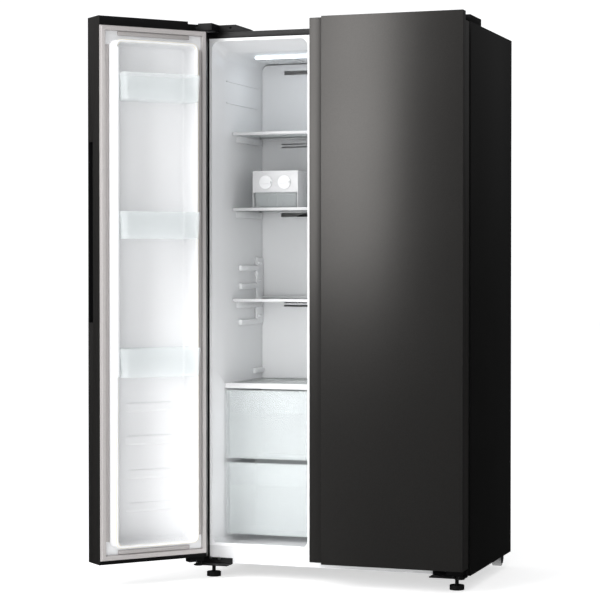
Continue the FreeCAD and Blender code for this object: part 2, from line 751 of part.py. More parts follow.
def drawer_cover(x0, x1):
    """Glass panel and frame that close the drawer space from above."""
    reach = wall_draft_front + guide_wall + drawer_side_clear
    y0 = drawer_front - 4
    y1 = back_panel_y - 4
    low = cover_shelf_top - cover_shelf_rim
    rim = box(x0 + reach, x1 - reach, y0, y0 + 20, low, cover_shelf_top)
    rear = box(x0 + reach, x1 - reach, y1 - 20, y1, low, cover_shelf_top)
    rails = [box(x, x + 12, y0, y1, low, cover_shelf_top) for x in (x0 + reach, x1 - reach - 12)]
    pane = box(x0 + reach + 6, x1 - reach - 6, y0 + 8, y1 - 8, cover_shelf_top - 1 - shelf_glass,
               cover_shelf_top - 1)
    return pane, fuse([rim, rear] + rails).cut(pane)


def fit_shelves(prefix, x0, x1, tops):
    pane, frame = drawer_cover(x0, x1)
    glasses = [pane]
    frames = [frame]
    brackets = []
    a = wall_x(x0, 1, shelf_back) + shelf_side_clear
    b = wall_x(x1, -1, shelf_back) - shelf_side_clear
    for top in tops:
        glass, frame = shelf(a, b, top, shelf_rim, shelf_front, shelf_back)
        glasses.append(glass)
        frames.append(frame)
        for edge, inward in ((x0, 1), (x1, -1)):
            wall = wall_x(edge, inward, shelf_front + 40)
            far = wall_x(edge, inward, shelf_back - 10)
            low = top - shelf_rim
            lug = poly(
                [
                    (wall, shelf_front + 40), (wall + inward * 14, shelf_front + 60),
                    (wall + inward * 14, shelf_back - 20), (far, shelf_back - 10),
                ],
                low - 22, low,
            )
            brackets.append(lug)
    put(prefix + "_shelf_glass", Part.makeCompound(glasses))
    put(prefix + "_shelf_trims", Part.makeCompound(frames))
    return brackets


freezer_lugs = fit_shelves("freezer", freezer_l, freezer_r, freezer_shelf_tops)
fridge_lugs = fit_shelves("fridge", fridge_l, fridge_r, fridge_shelf_tops)
put("shelf_brackets", Part.makeCompound(freezer_lugs + fridge_lugs))


def drawer(x0, x1, low, high, rear):
    """Clear drawer: rounded tray, a lip along its top edges and a hollow pull band in front."""
    a = x0 + wall_draft_front + guide_wall + drawer_side_clear
    b = x1 - wall_draft_front - guide_wall - drawer_side_clear
    bin_box = tray(a + 3, b - 3, drawer_front + 6, rear, low, high, drawer_wall, 14.0)
    front = slab(a, b, drawer_front, drawer_front + drawer_wall, low, high, 6.0)
    join = box(a + 3, b - 3, drawer_front, drawer_front + 14, low, low + drawer_wall)
    band = box(a + 12, b - 12, drawer_front + drawer_wall, drawer_front + 8, high - pull_band,
               high - pull_band + drawer_wall)
    return fuse([bin_box, front, join, band])


put("freezer_drawer_upper", drawer(freezer_l, freezer_r, upper_drawer_bottom, upper_drawer_top,
                                   upper_drawer_back))
put("freezer_drawer_lower", drawer(freezer_l, freezer_r, lower_drawer_bottom, lower_drawer_top,
                                   lower_drawer_back))
put("crisper_upper", drawer(fridge_l, fridge_r, upper_drawer_bottom, upper_drawer_top,
                            upper_drawer_back))
put("crisper_lower", drawer(fridge_l, fridge_r, lower_drawer_bottom, lower_drawer_top,
                            lower_drawer_back))

panel_top = ceiling_height - ceiling_drop - 3


def back_cover(x0, x1):
    a = wall_x(x0, 1, back_panel_y) + 1
    b = wall_x(x1, -1, back_panel_y) - 1
    mid = (a + b) / 2
    panel = slab(a, b, back_panel_y, back_panel_y + back_panel_t, duct_panel_bottom, panel_top,
                 opening_corner_r - 2)
    slots = []
    high_shelf, mid_shelf, low_shelf = freezer_shelf_tops
    for low, high, span in (
        (ceiling_height - 42, ceiling_height - 28, 148), (high_shelf - 27, high_shelf - 23, 166),
        (high_shelf - 37, high_shelf - 33, 166), (mid_shelf - 24, mid_shelf - 10, 170),
        (low_shelf - 19, low_shelf - 13, 150), (low_shelf - 31, low_shelf - 25, 150),
    ):
        slots.append(box(mid - span / 2, mid + span / 2, back_panel_y - 1, back_panel_y + 5, low, high))
    for slot in slots:
        panel = panel.cut(slot)
    return panel


put("freezer_back_cover", back_cover(freezer_l, freezer_r))
put("fridge_back_cover", back_cover(fridge_l, fridge_r))

lamps = []
for x0, x1 in ((freezer_l, freezer_r), (fridge_l, fridge_r)):
    mid = (x0 + x1) / 2
    lamps.append(box(mid - lamp_length / 2, mid + lamp_length / 2, lamp_y, lamp_y + lamp_depth,
                     ceiling_height - lamp_low, ceiling_height - lamp_high))
put("ceiling_lamps", Part.makeCompound(lamps))

# ---- cold-air side: evaporator and fan behind the freezer cover ----
mid_freezer = (freezer_l + freezer_r) / 2
coil_y = back_panel_y + back_panel_t + 22
tubes = []
coil_half = freezer_opening_width / 2 - 45.25
rows = [coil_low + coil_pitch * i for i in range(coil_count)]
for z in rows:
    tubes.append(cyl(coil_tube_r, mid_freezer - coil_half, coil_y, z, 2 * coil_half, X))
for i, z in enumerate(rows[:-1]):
    side = 1 if i % 2 == 0 else -1
    bend = Part.makeTorus(coil_pitch / 2, coil_tube_r,
                          Vector(mid_freezer + side * coil_half, coil_y, z + coil_pitch / 2), Vector(0, 1, 0))
    keep = box(0, 60, coil_y - 10, coil_y + 10, z - 20, z + coil_pitch + 20)
    if side < 0:
        keep = mirrored(keep)
    keep.translate(Vector(mid_freezer + side * coil_half, 0, 0))
    tubes.append(bend.common(keep))
fins = []
for i in range(coil_fins):
    x = mid_freezer + (coil_half - 10) * (2 * i / (coil_fins - 1) - 1)
    fins.append(box(x - 0.4, x + 0.4, coil_y - 16, coil_y + 16, rows[0] - 16, rows[-1] + 16))
put("evaporator", fuse(tubes + fins))


def fan(cx, cy, cz, radius, hub, depth, axis_word):
    """Five-bladed fan wheel with a bored hub."""
    blades = []
    for i in range(5):
        blade = box(hub - 2, radius, -0.8, 0.8, -depth / 2 + 2, depth / 2 - 2)
        blade.rotate(Vector(0, 0, 0), Vector(1, 0, 0), 32)
        blade.rotate(Vector(0, 0, 0), UP, 72 * i)
        blades.append(blade)
    body = cyl(hub, 0, 0, -depth / 2, depth)
    wheel = fuse([body] + blades)
    wheel = wheel.common(cyl(radius, 0, 0, -depth, 2 * depth))
    wheel = wheel.cut(cyl(fan_shaft_r + fan_shaft_clear, 0, 0, -depth, 2 * depth))
    if axis_word == "y":
        wheel.rotate(Vector(0, 0, 0), X, -90)
    else:
        wheel.rotate(Vector(0, 0, 0), Vector(0, 1, 0), 90)
    wheel.translate(Vector(cx, cy, cz))
    return wheel


Y = Vector(0, 1, 0)
put("evaporator_fan", fan(mid_freezer, coil_y, fan_z, fan_r, fan_hub_r, fan_depth, "y"))
ring = Part.makeCylinder(66, 24, Vector(mid_freezer, coil_y - 12, fan_z), Y)
ring = ring.cut(Part.makeCylinder(fan_hole_r, 26, Vector(mid_freezer, coil_y - 13, fan_z), Y))
spokes = [box(mid_freezer - 60, mid_freezer + 60, coil_y + 14, coil_y + 18, fan_z - 4, fan_z + 4)]
spokes.append(box(mid_freezer - 62, mid_freezer - 58, coil_y + 8, coil_y + 18, fan_z - 4, fan_z + 4))
spokes.append(box(mid_freezer + 58, mid_freezer + 62, coil_y + 8, coil_y + 18, fan_z - 4, fan_z + 4))
shaft = Part.makeCylinder(fan_shaft_r, 30, Vector(mid_freezer, coil_y - 14, fan_z), Y)
put("evaporator_fan_ring", fuse([ring] + spokes + [shaft]))

# ---- ice maker on the middle freezer shelf ----
ice_x0 = freezer_l + ice_left
ice_x1 = ice_x0 + ice_width
ice_base = freezer_shelf_tops[1]
deck = ice_base + ice_box_height + ice_gap * 2
ice_top = deck + ice_height
outer = box(ice_x0, ice_x1, ice_front, ice_front + ice_depth, ice_base, ice_top)
inner = box(ice_x0 + ice_wall, ice_x1 - ice_wall, ice_front + ice_wall, ice_front + ice_depth - ice_wall,
            ice_base - 1, ice_top - ice_wall)
mouth = box(ice_x0 + ice_wall, ice_x1 - ice_wall, ice_front - 1, ice_front + ice_wall + 1, ice_base - 1, deck)
housing = outer.cut(inner).cut(mouth)
knob_z = deck + ice_height / 2 - 2
tray_x = [(ice_x0 + ice_x1) / 2 - knob_spacing / 2, (ice_x0 + ice_x1) / 2 + knob_spacing / 2]
for x in tray_x:
    housing = housing.cut(Part.makeCylinder(tray_shaft_r + tray_shaft_clear, ice_depth + 20,
                                            Vector(x, ice_front - 10, knob_z), Y))
put("ice_maker_housing", housing)
for x, word in zip(tray_x, ("left", "right")):
    knob = Part.makeCylinder(knob_r, knob_t, Vector(x, ice_front - knob_t - 0.4, knob_z), Y)
    bar = box(x - knob_r + 3, x + knob_r - 3, ice_front - knob_t - 8.4, ice_front - knob_t - 0.4,
              knob_z - 3, knob_z + 3)
    shaft = Part.makeCylinder(tray_shaft_r, ice_wall + 8, Vector(x, ice_front - 0.4, knob_z), Y)
    rear = Part.makeCylinder(tray_shaft_r, ice_wall + 6,
                             Vector(x, ice_front + ice_depth - ice_wall - 4, knob_z), Y)
    body = box(x - tray_half_width, x + tray_half_width, ice_front + ice_wall + 4,
               ice_front + ice_depth - ice_wall - 4, knob_z - tray_half_height, knob_z + tray_half_height)
    cells = []
    pitch = (ice_depth - 2 * ice_wall - 14) / 6
    for i in range(6):
        y0 = ice_front + ice_wall + 8 + i * pitch
        for side in (0, 1):
            cx0 = x - tray_half_width + 2 + side * (tray_half_width - 1)
            cells.append(box(cx0, cx0 + tray_half_width - 3, y0, y0 + pitch - 2,
                             knob_z - tray_half_height + 2, knob_z + tray_half_height + 1))
    piece = fuse([knob, bar, shaft, rear, body])
    for cell in cells:
        piece = piece.cut(cell)
    put("ice_tray_" + word, piece)
ice_box = tray(ice_x0 + ice_wall + ice_gap, ice_x1 - ice_wall - ice_gap, ice_front + 2,
               ice_front + ice_depth - ice_wall - 2, ice_base + ice_gap, ice_base + ice_box_height, 2.0)
put("ice_box", ice_box)

# ---- fridge control panel on the ceiling front ----
mid_fridge = (fridge_l + fridge_r) / 2
panel_box = box(mid_fridge - control_width / 2, mid_fridge + control_width / 2, control_y,
                control_y + control_depth, ceiling_height - 18, ceiling_height - 1.5)
put("control_panel", panel_box)

# ---- machine compartment ----
comp_y = (bay_front + cabinet_depth) / 2
comp_base = cabinet_bottom + 2 * sheet
pot = cyl(comp_r, comp_x, comp_y, comp_base + comp_foot + 3, comp_height)
pot = pot.makeFillet(comp_shoulder_r, [e for e in pot.Edges if e.Closed])
pad = box(comp_x - 90, comp_x + 90, comp_y - 52, comp_y + 52, comp_base + comp_foot,
          comp_base + comp_foot + 3)
feet = [
    cyl(9, comp_x + dx, comp_y + dy, comp_base, comp_foot) for dx in (-76, 76) for dy in (-40, 40)
]
relay = box(comp_x + 52, comp_x + 84, comp_y - 26, comp_y + 26, comp_base + comp_foot + 30,
            comp_base + comp_foot + 92)
put("compressor", fuse([pot, pad, relay] + feet))

cond_rows = [comp_base + 24 + cond_pitch * i for i in range(cond_count)]
loops = []
for z in cond_rows:
    loops.append(cyl(cond_tube_r, cond_x0, comp_y, z, cond_x1 - cond_x0, X))
for i, z in enumerate(cond_rows[:-1]):
    side = 1 if i % 2 == 0 else -1
    cx = cond_x1 if side > 0 else cond_x0
    bend = Part.makeTorus(cond_pitch / 2, cond_tube_r, Vector(cx, comp_y, z + cond_pitch / 2), Y)
    keep = box(0, 40, comp_y - 8, comp_y + 8, z - 12, z + cond_pitch + 12)
    if side < 0:
        keep = mirrored(keep)
    keep.translate(Vector(cx, 0, 0))
    loops.append(bend.common(keep))
fins = []
for i in range(cond_fins):
    x = cond_x0 + 15 + (cond_x1 - cond_x0 - 30) * i / (cond_fins - 1)
    fins.append(box(x - 0.5, x + 0.5, comp_y - 30, comp_y + 30, comp_base, cond_rows[-1] + 20))
put("condenser", fuse(loops + fins))

cond_fan_z = comp_base + 100
put("condenser_fan", fan(fan_x, comp_y, cond_fan_z, fan_r, fan_hub_r, fan_depth, "x"))
frame = box(fan_x - 12, fan_x + 12, comp_y - 66, comp_y + 66, comp_base, cond_fan_z + 66)
frame = frame.cut(Part.makeCylinder(fan_hole_r, 30, Vector(fan_x - 15, comp_y, cond_fan_z), X))
bar = box(fan_x + 14, fan_x + 18, comp_y - 62, comp_y + 62, cond_fan_z - 4, cond_fan_z + 4)
ends = [box(fan_x + 8, fan_x + 18, comp_y + s * 60 - 2, comp_y + s * 60 + 2, cond_fan_z - 4,
            cond_fan_z + 4) for s in (-1, 1)]
shaft = Part.makeCylinder(fan_shaft_r, 30, Vector(fan_x - 12, comp_y, cond_fan_z), X)
put("condenser_fan_frame", fuse([frame, bar, shaft] + ends))

drip = tray(comp_x - 90, comp_x + 90, comp_y - 50, comp_y + 50, comp_base + comp_foot + drip_rise,
            comp_base + comp_foot + drip_rise + drip_height, 2.0)
legs = [box(comp_x - 90 + dx, comp_x - 86 + dx, comp_y - 10, comp_y + 10,
            comp_base, comp_base + comp_foot + drip_rise + 10) for dx in (-4, 180)]
put("drip_tray", fuse([drip] + legs))

cover_panel = box(-half + sheet + 0.5, half - sheet - 0.5, cabinet_depth - sheet, cabinet_depth,
                  cabinet_bottom + 2, bay_top - 0.5)
louvres = []
for bank in louvre_banks:
    for i in range(louvre_rows):
        z = cabinet_bottom + 60 + louvre_pitch * i
        louvres.append(box(bank - louvre_length / 2, bank + louvre_length / 2, cabinet_depth - 5,
                           cabinet_depth + 5, z, z + louvre_height))
for louvre in louvres:
    cover_panel = cover_panel.cut(louvre)
put("rear_grille", cover_panel)
print("pieces:", len([f for f in os.listdir("parts") if f.endswith(".step")]))
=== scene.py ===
"""Side-by-side refrigerator: visible pieces, finishes, floor, lights and camera."""
import json
import math

import bmesh
import bpy
from bpy.props import FloatProperty, FloatVectorProperty, IntProperty, PointerProperty
from mathutils import Matrix, Vector


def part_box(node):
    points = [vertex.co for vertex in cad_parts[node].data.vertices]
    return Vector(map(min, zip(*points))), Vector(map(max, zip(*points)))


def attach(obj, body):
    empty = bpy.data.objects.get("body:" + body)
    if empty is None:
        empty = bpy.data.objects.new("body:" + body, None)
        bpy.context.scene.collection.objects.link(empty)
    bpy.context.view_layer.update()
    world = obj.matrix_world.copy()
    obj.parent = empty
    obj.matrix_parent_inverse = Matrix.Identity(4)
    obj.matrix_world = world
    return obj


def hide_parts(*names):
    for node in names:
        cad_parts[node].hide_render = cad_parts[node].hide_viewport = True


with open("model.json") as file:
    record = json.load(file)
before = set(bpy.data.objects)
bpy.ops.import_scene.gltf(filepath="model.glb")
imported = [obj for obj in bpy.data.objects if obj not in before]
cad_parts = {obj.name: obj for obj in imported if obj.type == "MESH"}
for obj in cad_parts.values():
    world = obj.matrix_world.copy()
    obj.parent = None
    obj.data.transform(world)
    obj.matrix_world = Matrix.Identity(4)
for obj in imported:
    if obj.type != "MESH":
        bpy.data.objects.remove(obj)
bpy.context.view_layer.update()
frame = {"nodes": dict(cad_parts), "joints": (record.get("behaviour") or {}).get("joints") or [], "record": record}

bl_info = {
    "name": "Side-by-side Refrigerator",
    "version": (1, 0, 0),
    "blender": (4, 5, 0),
    "location": "3D View > Sidebar > Refrigerator",
    "description": "Builds the visible pieces and finishes of a side-by-side refrigerator",
    "category": "Object",
}

BODY_OF = {node: body for body, nodes in frame["record"]["behaviour"]["bodies"].items() for node in nodes}
SLOT_OF = {row["node"]: row["material_slot"] for row in frame["record"]["subparts"]}
JOINT = {joint["name"]: joint for joint in frame["joints"]}
WELD_DISTANCE = 2e-5
FLAT_ANGLE = math.radians(0.6)
SHEET_ROUND = 0.00045
BRACKET_ROUND = 0.0012
TRIM_ROUND = 0.0010
GLASS_ROUND = 0.0006
RAIL_COUNT = 4
RAIL_STEP = (0.0, 0.0, -0.0605)
RIDGE_STEP = (0.0, 0.0, -0.071)
WALL_OPENING = 0.003
WALL_DEPTH = 0.403
SLAT_BANKS = (-0.330, -0.110, 0.110, 0.330)
SLAT_HALF = 0.080
SLAT_STEP = (0.0, 0.0, 0.024)
CEILING_RIDGE_STEP = (0.100, 0.0, 0.0)
SCREW_RADIUS = 0.0052
SCREW_HEIGHT = 0.0022
SCREW_X = -0.4110
SCREW_SPACING = 0.030
CAMERA_PLACE = (1.93579, -5.81803, 1.00648)
CAMERA_TILT = math.radians(89.0)
CAMERA_TURN = math.radians(19.38)
CAMERA_LENS = 115.8


# ---------------------------------------------------------------- settings
class FridgeFinish(bpy.types.PropertyGroup):
    """Colours and gloss of the refrigerator's finishes."""

    door_colour: FloatVectorProperty(
        name="Door coating", description="Dark satin coating of the door panels",
        subtype="COLOR", size=3, min=0, max=1, default=(0.050, 0.048, 0.046),
    )
    door_roughness: FloatProperty(
        name="Door roughness", description="How widely the door panels spread a highlight",
        min=0.05, max=1, default=0.33, subtype="FACTOR",
    )
    side_colour: FloatVectorProperty(
        name="Cabinet paint", description="Grained black paint of the cabinet's sides and top",
        subtype="COLOR", size=3, min=0, max=1, default=(0.0035, 0.0035, 0.0035),
    )
    liner_colour: FloatVectorProperty(
        name="Liner white", description="White plastic of the compartments",
        subtype="COLOR", size=3, min=0, max=1, default=(0.80, 0.805, 0.815),
    )
    gasket_colour: FloatVectorProperty(
        name="Seal grey", description="Warm grey rubber of the door seals",
        subtype="COLOR", size=3, min=0, max=1, default=(0.40, 0.38, 0.375),
    )
    clear_tint: FloatVectorProperty(
        name="Clear plastic tint", description="Blue-green tint in the edges of the clear plastic",
        subtype="COLOR", size=3, min=0, max=1, default=(0.22, 0.42, 0.44),
    )


class FridgeSizes(bpy.types.PropertyGroup):
    """Sizes of the details that the frame does not fix."""

    edge_round: FloatProperty(
        name="Panel edge rounding", description="Radius on the folded edges of the sheet metal",
        default=0.0014, min=0.0002, max=0.004, unit="LENGTH",
    )
    plastic_round: FloatProperty(
        name="Plastic edge rounding", description="Radius on the edges of the moulded plastic",
        default=0.0016, min=0.0002, max=0.004, unit="LENGTH",
    )
    clear_wall: FloatProperty(
        name="Clear wall", description="Wall of the door bins", default=0.0024, min=0.001, max=0.004,
        unit="LENGTH",
    )
    wall_ridges: IntProperty(
        name="Wall ridges", description="Faint ridges across each side wall", default=2, min=1, max=6,
    )
    grille_slats: IntProperty(
        name="Grille slats", description="Slats in each bank of the rear grille", default=7, min=1, max=7,
    )
    lamp_watts: FloatProperty(
        name="Lamp power", description="Light given by each compartment's lamp", default=0.09, min=0, max=40,
        unit="POWER",
    )


# ---------------------------------------------------------------- finishes
def new_finish(name):
    finish = bpy.data.materials.new(name)
    finish.use_nodes = True
    tree = finish.node_tree
    tree.nodes.clear()
    out = tree.nodes.new("ShaderNodeOutputMaterial")
    shade = tree.nodes.new("ShaderNodeBsdfPrincipled")
    tree.links.new(shade.outputs["BSDF"], out.inputs["Surface"])
    where = tree.nodes.new("ShaderNodeTexCoord")
    return finish, tree, shade, where


def stretched(tree, where, scale):
    """Object coordinates scaled per axis."""
    node = tree.nodes.new("ShaderNodeMapping")
    node.inputs["Scale"].default_value = scale
    tree.links.new(where.outputs["Object"], node.inputs["Vector"])
    return node.outputs["Vector"]


def noise(tree, vector, scale, detail=3.0, rough=0.6):
    node = tree.nodes.new("ShaderNodeTexNoise")
    node.inputs["Scale"].default_value = scale
    node.inputs["Detail"].default_value = detail
    node.inputs["Roughness"].default_value = rough
    tree.links.new(vector, node.inputs["Vector"])
    return node.outputs["Fac"]


def spread(tree, value, low, high, from_low=0.3, from_high=0.7):
    node = tree.nodes.new("ShaderNodeMapRange")
    node.inputs["From Min"].default_value = from_low
    node.inputs["From Max"].default_value = from_high
    node.inputs["To Min"].default_value = low
    node.inputs["To Max"].default_value = high
    tree.links.new(value, node.inputs["Value"])
    return node.outputs["Result"]


def two_tone(tree, value, dark, light):
    node = tree.nodes.new("ShaderNodeMix")
    node.data_type = "RGBA"
    node.inputs["A"].default_value = (*dark, 1.0)
    node.inputs["B"].default_value = (*light, 1.0)
    tree.links.new(value, node.inputs["Factor"])
    return node.outputs["Result"]


def grain(tree, shade, height, strength, distance):
    node = tree.nodes.new("ShaderNodeBump")
    node.inputs["Strength"].default_value = strength
    node.inputs["Distance"].default_value = distance
    tree.links.new(height, node.inputs["Height"])
    tree.links.new(node.outputs["Normal"], shade.inputs["Normal"])


def scaled(colour, factor):
    return tuple(min(1.0, c * factor) for c in colour)


def coated_steel(name, colour, roughness, metallic=0.75):
    """Dark satin coating with a fine metallic grain."""
    finish, tree, shade, where = new_finish(name)
    flat = stretched(tree, where, (1.0, 1.0, 1.0))
    fleck = noise(tree, flat, 650.0, 2.0, 0.7)
    cloud = noise(tree, flat, 3.0, 2.0, 0.5)
    tree.links.new(two_tone(tree, spread(tree, fleck, 0.0, 1.0, 0.32, 0.68), scaled(colour, 0.86),
                            scaled(colour, 1.16)), shade.inputs["Base Color"])
    tree.links.new(spread(tree, cloud, roughness - 0.02, roughness + 0.02), shade.inputs["Roughness"])
    grain(tree, shade, fleck, 0.16, 0.0002)
    shade.inputs["Metallic"].default_value = metallic
    shade.inputs["Specular IOR Level"].default_value = 0.4
    return finish


def grained_paint(name, colour, roughness):
    """Black paint with an orange-peel grain."""
    finish, tree, shade, where = new_finish(name)
    peel = noise(tree, stretched(tree, where, (1.0, 1.0, 1.0)), 420.0, 4.0, 0.55)
    cloud = noise(tree, stretched(tree, where, (1.0, 1.0, 1.0)), 5.0, 2.0, 0.5)
    tree.links.new(two_tone(tree, spread(tree, cloud, 0.0, 1.0), scaled(colour, 0.9), scaled(colour, 1.15)),
                   shade.inputs["Base Color"])
    tree.links.new(spread(tree, peel, roughness - 0.05, roughness + 0.08), shade.inputs["Roughness"])
    grain(tree, shade, peel, 0.25, 0.0003)
    shade.inputs["Specular IOR Level"].default_value = 0.35
    return finish


def moulded(name, colour, roughness, texture=0.08, scale=520.0, sheen=0.5, coat=0.0):
    """Moulded plastic: faint texture, slightly uneven colour and gloss."""
    finish, tree, shade, where = new_finish(name)
    vector = stretched(tree, where, (1.0, 1.0, 1.0))
    fine = noise(tree, vector, scale, 3.0, 0.6)
    cloud = noise(tree, vector, 4.0, 3.0, 0.5)
    tree.links.new(two_tone(tree, spread(tree, cloud, 0.0, 1.0), scaled(colour, 0.97), colour),
                   shade.inputs["Base Color"])
    tree.links.new(spread(tree, fine, roughness - 0.04, roughness + 0.05), shade.inputs["Roughness"])
    grain(tree, shade, fine, texture, 0.0002)
    shade.inputs["Specular IOR Level"].default_value = sheen
    if coat:
        shade.inputs["Coat Weight"].default_value = coat
        shade.inputs["Coat Roughness"].default_value = 0.12
    return finish


def rubber(name, colour):
    """Soft seal: matt, with dust-like mottling."""
    finish, tree, shade, where = new_finish(name)
    vector = stretched(tree, where, (1.0, 1.0, 1.0))
    fine = noise(tree, vector, 260.0, 4.0, 0.65)
    tree.links.new(two_tone(tree, spread(tree, fine, 0.0, 1.0), scaled(colour, 0.93), scaled(colour, 1.04)),
                   shade.inputs["Base Color"])
    tree.links.new(spread(tree, fine, 0.5, 0.68), shade.inputs["Roughness"])
    grain(tree, shade, fine, 0.15, 0.0002)
    shade.inputs["Specular IOR Level"].default_value = 0.3
    return finish


def clear_sheet(name, colour, alpha, roughness=0.09):
    """Clear plastic or glass seen through, with faint flow marks in its gloss."""
    finish, tree, shade, where = new_finish(name)
    vector = stretched(tree, where, (1.0, 1.0, 1.0))
    flow = noise(tree, vector, 14.0, 3.0, 0.5)
    tree.links.new(two_tone(tree, spread(tree, flow, 0.0, 1.0), scaled(colour, 0.97), colour),
                   shade.inputs["Base Color"])
    tree.links.new(spread(tree, flow, roughness, roughness + 0.05), shade.inputs["Roughness"])
    shade.inputs["Alpha"].default_value = alpha
    shade.inputs["IOR"].default_value = 1.5
    return finish


def metal(name, colour, roughness, stretch=(1.0, 1.0, 1.0), scale=120.0, depth=0.15):
    """Bare or plated metal with rolled or spangled grain."""
    finish, tree, shade, where = new_finish(name)
    vector = stretched(tree, where, stretch)
    roll = noise(tree, vector, scale, 4.0, 0.6)
    tree.links.new(two_tone(tree, spread(tree, roll, 0.0, 1.0), scaled(colour, 0.82), scaled(colour, 1.1)),
                   shade.inputs["Base Color"])
    tree.links.new(spread(tree, roll, roughness - 0.08, roughness + 0.1), shade.inputs["Roughness"])
    grain(tree, shade, roll, depth, 0.0003)
    shade.inputs["Metallic"].default_value = 1.0
    return finish


def foam(name, colour):
    finish, tree, shade, where = new_finish(name)
    vector = stretched(tree, where, (1.0, 1.0, 1.0))
    cells = noise(tree, vector, 300.0, 5.0, 0.7)
    tree.links.new(two_tone(tree, spread(tree, cells, 0.0, 1.0), scaled(colour, 0.8), colour),
                   shade.inputs["Base Color"])
    grain(tree, shade, cells, 0.6, 0.001)
    shade.inputs["Roughness"].default_value = 0.9
    return finish


def glowing(name, colour, strength):
    """Lamp lens: an even glow through a lightly ribbed white lens."""
    finish, tree, shade, where = new_finish(name)
    ribs = noise(tree, stretched(tree, where, (300.0, 10.0, 10.0)), 1.0, 1.0, 0.5)
    grain(tree, shade, ribs, 0.1, 0.0002)
    shade.inputs["Base Color"].default_value = (*colour, 1.0)
    shade.inputs["Roughness"].default_value = 0.4
    shade.inputs["Emission Color"].default_value = (*colour, 1.0)
    shade.inputs["Emission Strength"].default_value = strength
    return finish


FINISH = {}


def make_finishes(look):
    white = tuple(look.liner_colour)
    FINISH.update({
        "door_finish": coated_steel("Dark_satin_steel", tuple(look.door_colour), look.door_roughness),
        "grip_strip_finish": coated_steel("Dark_satin_strip", tuple(look.door_colour), look.door_roughness),
        "cabinet_paint": grained_paint("Black_grained_paint", tuple(look.side_colour), 0.45),
        "black_plastic": moulded("Black_moulding", (0.004, 0.004, 0.0043), 0.5, 0.2, 700.0, 0.22),
        "liner_plastic": moulded("White_liner", white, 0.34, 0.05, 500.0, 0.45),
        "door_liner_plastic": moulded("White_door_liner", scaled(white, 0.95), 0.3, 0.05, 500.0, 0.45),
        "cover_plastic": moulded("White_back_cover", scaled(white, 0.98), 0.42, 0.05, 450.0, 0.4),
        "white_trim": moulded("White_trim", scaled(white, 0.80), 0.28, 0.03, 400.0, 0.5),
        "tray_plastic": moulded("White_ice_tray", scaled(white, 1.04), 0.3, 0.04, 420.0, 0.5),
        "clear_plastic": clear_sheet("Clear_plastic", (0.90, 0.95, 0.96), 0.20),
        "clear_edge": clear_sheet("Clear_plastic_edge", tuple(look.clear_tint), 0.72, 0.12),
        # painted shade: a dark, nearly opaque colour laid on edges, corners and slot outlines of the clear
        # plastic, where they look dark
        "painted_shade_edge": clear_sheet("Clear_plastic_painted_shade_edge", (0.09, 0.11, 0.11), 0.70, 0.15),
        # nearly opaque white for the drawer floors, and painted highlight: bright strips up the rounded corners of
        # the drawer trays
        "opaque_floor_and_painted_highlight": clear_sheet("Clear_plastic_opaque_floor_and_painted_highlight", (0.93, 0.95, 0.97), 0.93, 0.25),
        "shelf_glass": clear_sheet("Toughened_glass", (0.90, 0.95, 0.94), 0.52, 0.05),
        "lamp_lens": glowing("Lamp_lens", (0.82, 0.92, 1.0), 3.2),
        "gasket_rubber": rubber("Grey_seal", tuple(look.gasket_colour)),
        "insulation_foam": foam("Rigid_foam", (0.72, 0.62, 0.36)),
        "white_steel": moulded("White_painted_steel", scaled(white, 0.84), 0.38, 0.06, 600.0, 0.45),
        "galvanised_steel": metal("Zinc_coated_steel", (0.46, 0.47, 0.48), 0.42, (1, 1, 1), 40.0, 0.12),
        "grille_steel": grained_paint("Dark_grille_paint", (0.03, 0.03, 0.03), 0.5),
        "hinge_steel": grained_paint("Black_hinge_paint", (0.004, 0.004, 0.0043), 0.5),
        "plated_steel": metal("Zinc_plated_steel", (0.5, 0.5, 0.51), 0.32, (1, 1, 40), 30.0, 0.08),
        "foot_plastic": moulded("Black_foot", (0.006, 0.006, 0.0065), 0.45, 0.2, 600.0, 0.4),
        "roller_plastic": moulded("Grey_roller", (0.42, 0.42, 0.42), 0.45, 0.12, 500.0, 0.4),
        "compressor_paint": grained_paint("Compressor_paint", (0.01, 0.01, 0.01), 0.35),
        "coil_aluminium": metal("Coil_aluminium", (0.62, 0.63, 0.64), 0.35, (1, 1, 1), 90.0, 0.1),
        "condenser_steel": metal("Condenser_coating", (0.09, 0.09, 0.09), 0.45, (1, 1, 1), 90.0, 0.1),
        "fan_plastic": moulded("Fan_plastic", (0.03, 0.03, 0.032), 0.45, 0.1, 500.0, 0.4),
        "drip_plastic": moulded("Drip_tray_plastic", (0.2, 0.21, 0.22), 0.5, 0.1, 500.0, 0.4),
    })


# ---------------------------------------------------------------- shared building steps
def finish_of(node):
    return FINISH[SLOT_OF[node]]


def dress(node):
    """Give a frame node its finish, with no change to its mesh."""
    piece = frame["nodes"][node]
    piece.data.materials.clear()
    piece.data.materials.append(finish_of(node))
    return piece


def keep_shape(mesh, name, body, finish, angle=32.0):
    """Turn a mesh into a piece that rides on a body."""
    mesh.name = name
    mesh.materials.clear()
    for one in finish if isinstance(finish, (list, tuple)) else [finish]:
        mesh.materials.append(one)
    mesh.shade_smooth()
    mesh.set_sharp_from_angle(angle=math.radians(angle))
    piece = bpy.data.objects.new(name, mesh)
    bpy.context.scene.collection.objects.link(piece)
    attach(piece, body)
    return piece


def from_bmesh(bm, name, body, finish, angle=32.0, recalc=True):
    if recalc:
        bmesh.ops.recalc_face_normals(bm, faces=bm.faces)
    mesh = bpy.data.meshes.new(name)
    bm.to_mesh(mesh)
    bm.free()
    return keep_shape(mesh, name, body, finish, angle)


def welded_copy(node, whole=True):
    """A frame node's mesh with its triangles joined; whole merges flat faces, which fills their holes."""
    bm = bmesh.new()
    bm.from_mesh(frame["nodes"][node].data)
    bmesh.ops.remove_doubles(bm, verts=bm.verts, dist=WELD_DISTANCE)
    if whole:
        bmesh.ops.dissolve_limit(bm, angle_limit=FLAT_ANGLE, verts=bm.verts, edges=bm.edges)
    return bm


